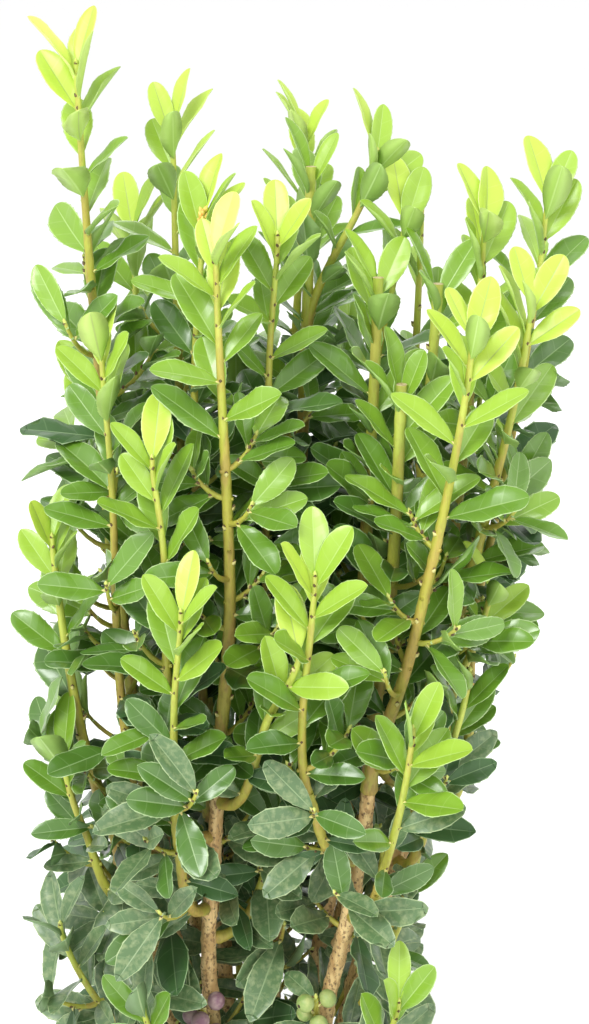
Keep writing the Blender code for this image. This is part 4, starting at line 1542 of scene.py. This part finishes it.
@dataclass
class Foliage:
    """All leafy shoots: their stems, side twigs, leaves, buds and cut ends."""

    skeleton: Skeleton
    rule: GrowthRule
    form: BladeForm
    plain_form: BladeForm
    eye: np.ndarray
    room: Room = field(default_factory=Room)
    sprays: list[Spray] = field(default_factory=list)
    reach: dict[str, tuple[np.ndarray, np.ndarray]] = field(default_factory=dict)
    reach_margin: float = 4.0 * MM
    tip_reach: float = 24.0 * MM
    low_top: float = 178.0 * MM
    bare_boughs: tuple[str, ...] = ("left_bough", "right_bough")
    bare_front: float = 0.2
    start_spread: float = 0.5
    turn_spread: float = 0.22
    age_spread: float = 0.08
    twig_age: float = 50.0 * MM
    low_twig_age: float = 80.0 * MM
    spur_age: float = 60.0 * MM
    blossom_shoot: str = "upper_left_shoot"
    deep_twig_rise: float = 36.0 * MM
    # The depth behind the crown's middle over which a leaf's painted shade at the rear grows to its full.
    rear: float = 30.0 * MM
    tone_places: tuple[float, ...] = (0.0, 12 * MM, 25 * MM, 42 * MM, 65 * MM, 100 * MM, 150 * MM)
    tone_scores: tuple[float, ...] = (0.0, 0.5, 1.1, 1.9, 2.8, 3.7, 4.5)
    ripening: dict[Vigour, tuple[float, float]] = field(
        default_factory=lambda: {FRESH: (0.7, 1.12), MID: (1.2, 1.4), DEEP: (2.9, 1.4)}
    )
    cut_score: float = 2.7
    dull_score: float = 3.6
    # How many tones darker a leaf is dealt as painted shade: low down, and at the rear.
    shade_score: float = 1.2
    rear_painted_shade: float = 0.4
    tone_spread: float = 0.6
    dull_chance: float = 1.3
    dull_shade: float = 2.0
    fewest_twig_leaves: int = 2
    crown_heights: tuple[float, ...] = (60, 110, 140, 165, 210, 255, 325, 375, 405, 425)
    crown_left: tuple[float, ...] = (84, 84, 83, 83, 86, 92, 78, 76, 84, 84)
    crown_right: tuple[float, ...] = (60, 58, 64, 79, 94, 99, 106, 108, 110, 110)
    first_leaf: float = 0.6 * MM
    cut_first_leaf: float = 2.5 * MM
    test_sides: int = 3
    stem_sides: int = 8
    stem_step: float = 3.0 * MM
    collar: float = 0.3
    collar_reach: float = 3.5 * MM
    root_depth: float = 2.2 * MM
    stem_power: float = 0.75
    node_swell: float = 0.14
    node_power: int = 3
    woody_length: float = 230.0 * MM
    skin_share: float = 0.8
    bark_reach: float = 10.0 * MM
    fewest_rings: int = 4
    cut_rings: tuple[tuple[float, float], ...] = ((0.78, 0.10 * MM), (0.30, -0.15 * MM))
    piece_leaves: int = 400
    bud_sides: int = 4
    bud_size: float = 0.6 * MM
    bud_rise: float = 0.55 * MM
    tip_bud: float = 0.8 * MM
    foot_size: float = 0.85 * MM
    young_foot: float = 0.6
    scar_sink: float = 0.4 * MM
    scar_bud_rise: float = 0.9 * MM
    blossom_buds: int = 11
    blossom_size: float = 0.85 * MM
    blossom_step: float = 0.45 * MM
    blossom_out: float = 0.6 * MM
    blossom_rise: float = 1.2 * MM
    blossom_spread: float = 0.5
    bud_rows: tuple[tuple[float, float], ...] = ((0.0, 0.8), (1.1, 1.0), (2.4, 0.2))

    def grow(self) -> None:
        """Grows stems first, then side twigs, then leaves, each where there is room."""
        for name, stem in self.skeleton.boughs.items():
            self.room.add(name, *self.test_tube(stem))
            self.reach[name] = (np.array(CAD_LOW), np.array([*CAD_HIGH[:2], self.low_top]))
        for limb in SHOOTS:
            low, high = (np.array(corner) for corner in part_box(limb.name))
            self.reach[limb.name] = (low - self.reach_margin, high + self.reach_margin)
            for number, stem in enumerate(self.skeleton.shoot(limb)):
                cut = limb.cut and number == 0
                tip_top = stem.point(stem.length)[2] + self.tip_reach
                self.reach[limb.name][1][2] = max(self.reach[limb.name][1][2], tip_top)
                bare, older_by = limb.bare * MM, self.spur_age if limb.berries else 0.0
                spray = Spray(limb.name, stem, limb.vigour, bare, cut, older_by, self.rule.leaf_step)
                self.sprays.append(spray)
                self.room.add(limb.name, *self.test_tube(stem))
        for index, spray in enumerate(list(self.sprays)):
            self.add_twigs(spray, Draws.TWIGS.source(index))
        for index, name in enumerate(self.skeleton.boughs):
            self.add_low_twigs(name, Draws.LOW_TWIGS.source(index))
        for index, spray in enumerate(self.sprays):
            self.add_leaves(spray, Draws.LEAVES.source(index))
        self.sprays = [s for s in self.sprays if not s.twig or len(s.leaves) >= self.fewest_twig_leaves]

    def test_tube(self, stem: Stem) -> tuple[np.ndarray, list[tuple[int, ...]]]:
        """A stem's plain skin, for testing what comes near.

        Args:
            stem: the stem.

        Returns:
            Its points and faces.
        """
        radii = [stem.radius(d) for d in stem.distances]
        points = tube_points(stem, stem.distances, radii, self.test_sides)
        return points.reshape(-1, 3), grid_faces(len(stem.distances), self.test_sides)

    def add_twigs(self, spray: Spray, rng: np.random.Generator) -> None:
        """Adds side twigs along a shoot, below its newest growth.

        Args:
            spray: the shoot.
            rng: its own source of chance.
        """
        rule = self.rule
        older = self.deep_twig_rise if spray.vigour is DEEP else 0.0
        distance = spray.stem.length - rule.twig_from_tip + older
        turn = rng.uniform(0.0, 2 * math.pi)
        while distance > spray.bare + rule.twig_from_bare:
            turn += LEAF_TURN
            chance = rng.uniform()
            self.add_twig(spray.owner, spray.stem, distance, turn, spray.vigour, self.twig_age, chance)
            shaded = spray.stem.point(distance)[2] < rule.shaded_height
            step = rule.shaded_twig_step if shaded else rule.twig_step
            distance -= step * rng.uniform(*rule.step_spread)

    def add_low_twigs(self, name: str, rng: np.random.Generator) -> None:
        """Adds old side twigs along a bough, which close the crown low down.

        The two boughs that stand in front keep their front side bare.

        Args:
            name: the bough.
            rng: its own source of chance.
        """
        rule = self.rule
        stem = self.skeleton.boughs[name]
        distance = rule.low_twig_from
        turn = rng.uniform(0.0, 2 * math.pi)
        while distance < stem.length - rule.low_twig_to:
            turn += LEAF_TURN
            hides_bough = name in self.bare_boughs and stem.ray(distance, turn)[1] < self.bare_front
            if not hides_bough:
                self.add_twig(name, stem, distance, turn, DEEP, self.low_twig_age, rng.uniform())
            distance += rule.low_twig_step * rng.uniform(*rule.step_spread)

    def add_twig(self, owner: str, stem: Stem, distance: float, turn: float, vigour: Vigour,
                 older_by: float, chance: float) -> None:
        """Adds a side twig where there is room for it.

        Args:
            owner: the node that it belongs to.
            stem: the stem that carries it.
            distance: where it leaves that stem.
            turn: its turn round that stem.
            vigour: how freely it grows.
            older_by: how far from a tip its own tip counts, for its leaves' age.
            chance: from 0 to 1, for its length.
        """
        rule = self.rule
        ray = stem.ray(distance, turn)
        low, high = rule.twig_lengths
        reach = low + (high - low) * chance
        root = stem.point(distance)
        way = unit(ray + UP * rule.twig_rise)
        twig = Stem([root, root + way * reach], ray, rule.twig_radius, rule.twig_tip, reach)
        points, faces = self.test_tube(twig)
        inside = self.within_reach(owner, twig.point(twig.length))
        if inside and points[:, 2].min() > rule.lowest and self.room.is_free(owner, points, faces):
            self.room.add(owner, points, faces)
            spray = Spray(owner, twig, vigour, rule.twig_bare, False, older_by, rule.twig_leaf_step, True)
            self.sprays.append(spray)

    def add_leaves(self, spray: Spray, rng: np.random.Generator) -> None:
        """Adds the leaves of a spray, spiralling to its tip. One with no room leaves its scar.

        A twig ends at its outermost leaf and has no scars.

        Args:
            spray: the spray.
            rng: its own source of chance.
        """
        rule = self.rule
        first = self.cut_first_leaf if spray.cut else self.first_leaf
        outermost = first
        start = rule.shaded_turn(spray.stem) + rng.uniform(-self.start_spread, self.start_spread)
        for i, from_tip in enumerate(rule.places(spray.stem.length - spray.bare, spray.step, first)):
            draws = rng.uniform(-1.0, 1.0, rule.leaf_draws)
            chance = rng.uniform(-1.0, 1.0)
            if from_tip > spray.stem.length:
                break
            age = min(1.0, (from_tip + spray.older_by) / rule.age_length) ** rule.age_power
            twist, point = draws[-2:]
            age = min(1.0, max(0.0, age + self.age_spread * point * min(i, 1)))
            for attempt in rule.tries:
                turn = start - i * LEAF_TURN + self.turn_spread * twist + attempt
                leaf = rule.leaf(spray.stem, from_tip, turn, age, draws)
                leaf.length *= self.size_share(spray, spray.stem.length - from_tip)
                if self.has_room(leaf, spray.owner):
                    leaf.tone = self.tone(leaf, spray, from_tip, chance)
                    self.room.add(spray.owner, *leaf.solid(0.0))
                    outermost = outermost if spray.leaves else from_tip
                    spray.leaves.append(leaf)
                    break
            else:
                spray.scars.append((spray.stem.length - from_tip, start - i * LEAF_TURN))
        if spray.twig:
            spray.scars.clear()
            spray.stem.length -= outermost - first

    def size_share(self, spray: Spray, distance: float) -> float:
        """How large a leaf is by where it grows: smaller on twigs and near a shoot's root.

        Args:
            spray: the spray that it grows on.
            distance: its distance from the spray's root.

        Returns:
            A factor on its length.
        """
        if spray.twig:
            on_bough = spray.owner in self.skeleton.boughs
            return self.rule.low_twig_share if on_bough else self.rule.twig_share
        grown = min(1.0, distance / self.rule.foot_reach)
        share = self.rule.foot_share + (1.0 - self.rule.foot_share) * grown
        return share * (self.rule.deep_share if spray.vigour is DEEP else 1.0)

    def within_reach(self, owner: str, point: np.ndarray) -> bool:
        """Whether a place lies within the reach of the source's mass, and in the crown.

        Args:
            owner: the mass's node.
            point: the place.

        Returns:
            True where it does.
        """
        low, high = self.reach[owner]
        height = point[2] / MM
        left = np.interp(height, self.crown_heights, self.crown_left)
        right = np.interp(height, self.crown_heights, self.crown_right)
        return bool(np.all(point > low) and np.all(point < high) and -left < point[0] / MM < right)

    def hides_view(self, points: np.ndarray) -> bool:
        """Whether a blade hides, seen from the front, a gap of sky or the main stems' bare bark.

        Args:
            points: the points of its simple solid, with the middle ones last.

        Returns:
            True where one of them, or a place halfway to its middle, does.
        """
        points = np.vstack([points, (points + points[-1]) / 2])
        seen = self.eye + (points - self.eye) * (self.eye[1] / (self.eye[1] - points[:, 1:2]))
        side, _, up = seen.T / MM
        clearings = (*SKY_GAPS, *LEFT_BARK, *RIGHT_BARK)
        return any(clearing.holds(side, up, points[:, 1]).any() for clearing in clearings)

    def has_room(self, leaf: Leaf, owner: str) -> bool:
        """Whether a leaf is in reach, above ground, clear of others and, past its foot, of its own.

        Args:
            leaf: the leaf.
            owner: the node that it belongs to.

        Returns:
            True where it is.
        """
        points, faces = leaf.solid(self.rule.clearance)
        tip = leaf.root + leaf.direction * leaf.length
        if points[:, 2].min() < self.rule.lowest or not self.within_reach(owner, tip):
            return False
        if self.hides_view(points):
            return False
        outer = points + leaf.direction * self.rule.own_reach
        return self.room.is_free(owner, points, faces) and self.room.is_free(owner, outer, faces, True)

    def tone(self, leaf: Leaf, spray: Spray, from_tip: float, chance: float) -> Tone:
        """A leaf's colour by its age and its shoot's vigour, with painted shade: a darker tone low down
        and at the rear of the crown.

        Args:
            leaf: the leaf.
            spray: the spray that it grows on.
            from_tip: its distance from the spray's tip.
            chance: from -1 to 1.

        Returns:
            The tone.
        """
        newest, haste = self.ripening[spray.vigour]
        score = newest + np.interp((from_tip + spray.older_by) * haste, self.tone_places, self.tone_scores)
        # Painted shade: a leaf low down, and one at the rear, takes a darker tone.
        shade = self.rule.shade(leaf.root)
        score += self.shade_score * shade
        score += self.rear_painted_shade * np.clip(leaf.root[1] / self.rear, 0.0, 1.0)
        if spray.cut:
            score = max(score, self.cut_score)
        if chance > self.dull_chance - self.dull_shade * shade and score > self.dull_score:
            return Tone.DULL
        return Tone(int(np.clip(round(score + self.tone_spread * chance), 0, Tone.DUSK.value)))

    def build_leaves(self) -> list[bpy.types.Object]:
        """Builds the leaf pieces, each tone apart, in pieces of a limited size.

        Returns:
            The pieces.
        """
        made = []
        slot_of = {Tone.LEMON: FRESH, Tone.LIME: FRESH, Tone.FRESH: FRESH, Tone.BRIGHT: MID, Tone.MID: MID}
        for finish in LEAF_FINISHES:
            owned = [(s.owner, leaf) for s in self.sprays for leaf in s.leaves if leaf.tone is finish.tone]
            materials = finish.materials()
            form = self.plain_form if finish.tone in (Tone.DUSK, Tone.DULL) else self.form
            faces, slots = form.faces()
            count = math.ceil(len(owned) / self.piece_leaves)
            for number in range(count):
                batch = owned[len(owned) * number // count : len(owned) * (number + 1) // count]
                part = MeshPart()
                for points in form.points([leaf for _, leaf in batch]):
                    part.add(points, faces, slots)
                leaves = part.piece(f"leaves_{finish.tone.name.lower()}_{number + 1}", materials)
                owners = {owner for owner, _ in batch} - set(self.skeleton.boughs)
                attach(leaves, "root")
                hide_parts(*sorted(owners))
                slot_of.get(finish.tone, DEEP).value
                LOG.info("%s: %d leaves", leaves.name, len(batch))
                made.append(leaves)
        return made

    def build_stems(self) -> list[bpy.types.Object]:
        """Builds the shoots' stems and twigs in one piece, and their cut ends in another.

        Returns:
            The pieces.
        """
        part, ends, ages = MeshPart(), MeshPart(), []
        for spray in self.sprays:
            ages.append(self.add_stem(part, ends, spray))
        stems = part.piece("stems", [StemFinish().material()], np.concatenate(ages))
        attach(stems, "root")
        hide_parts(*(limb.name for limb in SHOOTS))
        cut_ends = ends.piece("cut_ends", [CUT_WOOD.material()])
        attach(cut_ends, "root")
        return [stems, cut_ends]

    def add_stem(self, part: MeshPart, ends: MeshPart, spray: Spray) -> np.ndarray:
        """Adds a spray's stem, with a swelling at each leaf.

        Args:
            part: the mesh of the stems.
            ends: the mesh of cut ends.
            spray: the spray.

        Returns:
            The age of each of its points, from 0 to 1.
        """
        stem = spray.stem
        rings = max(self.fewest_rings, int(stem.length / self.stem_step) + 1)
        distances = np.linspace(0.0, stem.length, rings)
        swell = (1.0 - distances / stem.length) ** self.stem_power
        radii = stem.tip_radius + (stem.root_radius - stem.tip_radius) * swell
        wave = np.cos((stem.length - distances) / spray.step * 2 * math.pi)
        radii *= 1.0 + self.node_swell * wave.clip(0.0) ** self.node_power
        radii *= 1.0 + self.collar * np.exp(-distances / self.collar_reach)
        points = tube_points(stem, distances, radii, self.stem_sides)
        points = rooted(points, stem, self.root_depth)
        if spray.cut:
            self.add_cut_end(ends, stem, points[-1])
        faces = grid_faces(rings + 1, self.stem_sides, top=not spray.cut)
        part.add(points.reshape(-1, 3), faces)
        from_tip = stem.length - distances + spray.older_by
        aged = self.skin_share * (from_tip / self.woody_length).clip(0.0, 1.0)
        if not spray.twig:
            aged += (1.0 - self.skin_share) * np.exp(-distances / self.bark_reach)
        return np.repeat(np.append(aged[0], aged), self.stem_sides)

    def add_cut_end(self, ends: MeshPart, stem: Stem, rim: np.ndarray) -> None:
        """Adds the flat, slightly sunken end of a pruned stem.

        Args:
            ends: the mesh of cut ends.
            stem: the pruned stem.
            rim: the last ring of its skin.
        """
        middle = stem.point(stem.length)
        direction = stem.direction(stem.length)
        points = [rim]
        points += [middle + share * (rim - middle) + direction * rise for share, rise in self.cut_rings]
        ends.add(np.concatenate(points), grid_faces(len(points), self.stem_sides, top=True))

    def build_buds(self) -> list[bpy.types.Object]:
        """Builds each leaf's pale foot and small brown bud, fallen leaves' scars, and green tip buds.

        Returns:
            The pieces.
        """
        side_buds, feet, tip_buds, blossom = MeshPart(), MeshPart(), MeshPart(), MeshPart()
        for spray in self.sprays:
            stem = spray.stem
            for leaf in spray.leaves:
                foot = leaf.root + leaf.upper * self.bud_rise
                self.add_bud(side_buds, foot, unit(leaf.direction + leaf.upper), self.bud_size)
                grown = self.young_foot + (1.0 - self.young_foot) * leaf.age
                self.add_bud(feet, leaf.root, leaf.direction, self.foot_size * grown)
            for distance, turn in spray.scars:
                ray = stem.ray(distance, turn)
                foot = stem.point(distance) + ray * stem.radius(distance)
                self.add_bud(feet, foot - self.scar_sink * ray, unit(ray + UP), self.foot_size)
                self.add_bud(side_buds, foot + self.scar_bud_rise * UP, unit(ray + UP), self.bud_size)
            if not spray.cut:
                self.add_bud(tip_buds, stem.point(stem.length), stem.direction(stem.length), self.tip_bud)
            if spray.owner == self.blossom_shoot and spray.older_by == 0.0:
                self.add_blossom(blossom, stem)
        made = []
        kinds = (
            ("side_buds", side_buds, BUD_SKIN),
            ("leaf_feet", feet, LEAF_FOOT_SKIN),
            ("tip_buds", tip_buds, TIP_SKIN),
            ("blossom_buds", blossom, BLOSSOM_SKIN),
        )
        for name, part, finish in kinds:
            bud_piece = part.piece(name, [finish.material()])
            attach(bud_piece, "root")
            made.append(bud_piece)
        return made

    def add_blossom(self, part: MeshPart, stem: Stem) -> None:
        """Adds a tuft of blossom buds round a stem's tip.

        Args:
            part: the mesh that it goes into.
            stem: the stem.
        """
        for k in range(self.blossom_buds):
            distance = stem.length - self.blossom_step * k
            ray = stem.ray(distance, k * LEAF_TURN)
            foot = stem.point(distance) + ray * self.blossom_out + UP * self.blossom_rise
            self.add_bud(part, foot, unit(self.blossom_spread * ray + UP), self.blossom_size)

    def add_bud(self, part: MeshPart, foot: np.ndarray, way: np.ndarray, size: float) -> None:
        """Adds one pointed bud.

        Args:
            part: the mesh that it goes into.
            foot: the middle of its foot.
            way: the way it points.
            size: its radius.
        """
        ring = circle(*across(way), self.bud_sides)
        rows = [foot + way * size * rise + ring * size * wide for rise, wide in self.bud_rows]
        part.add(np.concatenate(rows), grid_faces(len(rows), self.bud_sides, top=True))


@dataclass
class Fruit:
    """Berries on short stalks on the two spurs, purple at the left and still green at the right."""

    skeleton: Skeleton
    room: Room
    radius: float = 3.3 * MM
    stalk: float = 5.0 * MM
    stalk_radius: float = 0.45 * MM
    first_share: float = 0.45
    to_front: float = 0.7
    squash: float = 0.94
    open_steps: int = 4
    open_step: float = 5.0 * MM
    open_rise: float = 0.3
    turn_spread: float = 0.25
    rings: int = 14
    sides: int = 20

    BERRY = 0
    STALK = 1
    END = 2

    def build(self) -> list[bpy.types.Object]:
        """Builds the fruit of each spur, and keeps its room and the room before it free.

        Returns:
            The pieces.
        """
        made = []
        for limb in SHOOTS:
            if limb.berries:
                finish = PURPLE_FRUIT if limb.name.startswith("left") else GREEN_FRUIT
                made.append(self.bunch(limb, finish))
        return made

    def bunch(self, limb: Limb, finish: PlainFinish) -> bpy.types.Object:
        """The berries of one spur.

        Args:
            limb: the spur.
            finish: the berries' skin.

        Returns:
            The piece.
        """
        index = [shoot.name for shoot in SHOOTS].index(limb.name)
        rng = Draws.FRUIT.source(index)
        stem = self.skeleton.shoot(limb)[0]
        part = MeshPart()
        to_eye = unit(self.open_rise * UP - BACK)
        for k in range(limb.berries):
            share = self.first_share + (1.0 - self.first_share) * k / max(1, limb.berries - 1)
            distance = stem.length * share
            turn = LEAF_TURN * k + self.turn_spread * rng.uniform(-1.0, 1.0)
            ray = unit(stem.ray(distance, turn) - self.to_front * BACK)
            root = stem.point(distance)
            points, faces = self.add_berry(part, root, ray)
            for step in range(self.open_steps):
                self.room.add("fruit", points + self.open_step * step * to_eye, faces)
        materials = [finish.material(), STALK_SKIN.material(), FRUIT_END.material()]
        made = part.piece(f"{limb.name}_fruit", materials)
        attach(made, "root")
        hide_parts(limb.name)
        return made

    def add_berry(self, part: MeshPart, root: np.ndarray, ray: np.ndarray) -> tuple[np.ndarray, list]:
        """Adds a berry with its stalk and its small dark end.

        Args:
            part: the mesh that it goes into.
            root: the stalk's root.
            ray: the way the stalk points.

        Returns:
            The berry's points, and its faces but for the dark end.
        """
        centre = root + ray * self.stalk
        ring = circle(*across(ray), self.sides)
        rows = []
        for tilt in np.linspace(-0.5 * math.pi, 0.5 * math.pi, self.rings + 2)[1:-1]:
            middle = centre + ray * self.squash * self.radius * math.sin(tilt)
            rows.append(middle + ring * self.radius * math.cos(tilt))
        points = np.concatenate(rows)
        faces = grid_faces(self.rings, self.sides, foot=True, top=True)
        part.add(points, faces, [self.BERRY] * (len(faces) - 1) + [self.END])
        stalk = np.concatenate([root + ring * self.stalk_radius, centre + ring * self.stalk_radius])
        part.add(stalk, grid_faces(2, self.sides), self.STALK)
        return points, faces[:-1]


@dataclass(frozen=True)
class Lamp:
    """A soft square light: where it stands, its side in metres and its power in watts."""

    name: str
    place: Triple
    size: float
    power: float


@dataclass
class Studio:
    """The pale floor, the soft lights and the camera at the photograph's side."""

    target: Triple = (0.0095, 0.0, 0.2575)
    distance: float = 0.68
    elevation: float = math.radians(17.0)
    lens: float = 70.3125
    sensor: float = 36.0
    floor_radius: float = 24.0
    floor_sides: int = 96
    floor_depth: float = 0.1 * MM
    floor_colour: Triple = (0.96, 0.96, 0.96)
    floor_roughness: float = 0.9
    sky_strength: float = 1.04
    lamps: tuple[Lamp, ...] = (
        Lamp("key_light", (-0.75, -1.25, 1.45), 0.7, 27.0),
        Lamp("fill_light", (1.15, -0.85, 0.75), 1.2, 5.0),
        Lamp("rim_light", (0.2, 1.2, 1.3), 1.0, 7.0),
    )

    def eye(self) -> np.ndarray:
        """Where the camera stands."""
        back = np.array([0.0, -math.cos(self.elevation), math.sin(self.elevation)])
        return np.array(self.target) + back * self.distance

    def build(self) -> None:
        """Builds the floor, the lights, the sky and the camera."""
        self.add_floor()
        self.add_sky()
        for lamp in self.lamps:
            self.add_light(lamp)
        self.add_camera()

    def add_floor(self) -> None:
        """Adds a wide round floor at ground level."""
        turns = np.linspace(0.0, 2 * math.pi, self.floor_sides, endpoint=False)
        level = np.full(turns.shape, -self.floor_depth)
        points = [self.floor_radius * np.cos(turns), self.floor_radius * np.sin(turns), level]
        part = MeshPart()
        part.add(np.stack(points, axis=1), [range(self.floor_sides)])
        palette = Palette("floor_paint")
        palette.set("Base Color", self.floor_colour)
        palette.set("Roughness", self.floor_roughness)
        floor = part.piece("floor", [palette.material])

    def add_sky(self) -> None:
        """Adds an even white surround."""
        world = bpy.data.worlds.new("surround")
        bpy.context.scene.world = world
        world.use_nodes = True
        background = world.node_tree.nodes["Background"]
        background.inputs["Color"].default_value = (1.0, 1.0, 1.0, 1.0)
        background.inputs["Strength"].default_value = self.sky_strength

    def add_light(self, lamp: Lamp) -> None:
        """Adds a lamp that faces the crown.

        Args:
            lamp: its place, side and power.
        """
        data = bpy.data.lights.new(lamp.name, "AREA")
        data.shape = "SQUARE"
        data.size = lamp.size
        data.energy = lamp.power
        light = bpy.data.objects.new(lamp.name, data)
        light.location = lamp.place
        light.rotation_euler = self.turn_from(lamp.place)
        bpy.context.scene.collection.objects.link(light)

    def turn_from(self, place: Sequence[float]) -> Euler:
        """The turn of a lamp or a camera that faces the crown's middle from a place."""
        return (Vector(self.target) - Vector(place)).to_track_quat("-Z", "Y").to_euler()

    def add_camera(self) -> None:
        """Adds the camera at the photograph's distance and height."""
        data = bpy.data.cameras.new("camera")
        data.sensor_fit = "AUTO"
        data.sensor_width = self.sensor
        data.lens = self.lens
        camera = bpy.data.objects.new("camera", data)
        camera.location = self.eye()
        camera.rotation_euler = self.turn_from(camera.location)
        bpy.context.scene.collection.objects.link(camera)
        bpy.context.scene.camera = camera


def report(pieces: Iterable[bpy.types.Object]) -> None:
    """Logs each piece's name and the number of its faces."""
    for made in pieces:
        LOG.info("%s: %d polygons", made.name, len(made.data.polygons))


def main() -> None:
    """Builds every part of the scene in order."""
    logging.basicConfig(level=logging.INFO, format="%(message)s")
    bpy.context.scene.view_settings.view_transform = "Standard"
    studio = Studio()
    skeleton = Skeleton()
    skeleton.grow()
    report([Wood(skeleton).build()])
    foliage = Foliage(skeleton, GrowthRule(), BladeForm(), BladeForm(veins=3), studio.eye())
    report(Fruit(skeleton, foliage.room).build())
    foliage.grow()
    report((*foliage.build_leaves(), *foliage.build_stems(), *foliage.build_buds()))
    studio.build()


if __name__ == "__main__":
    main()
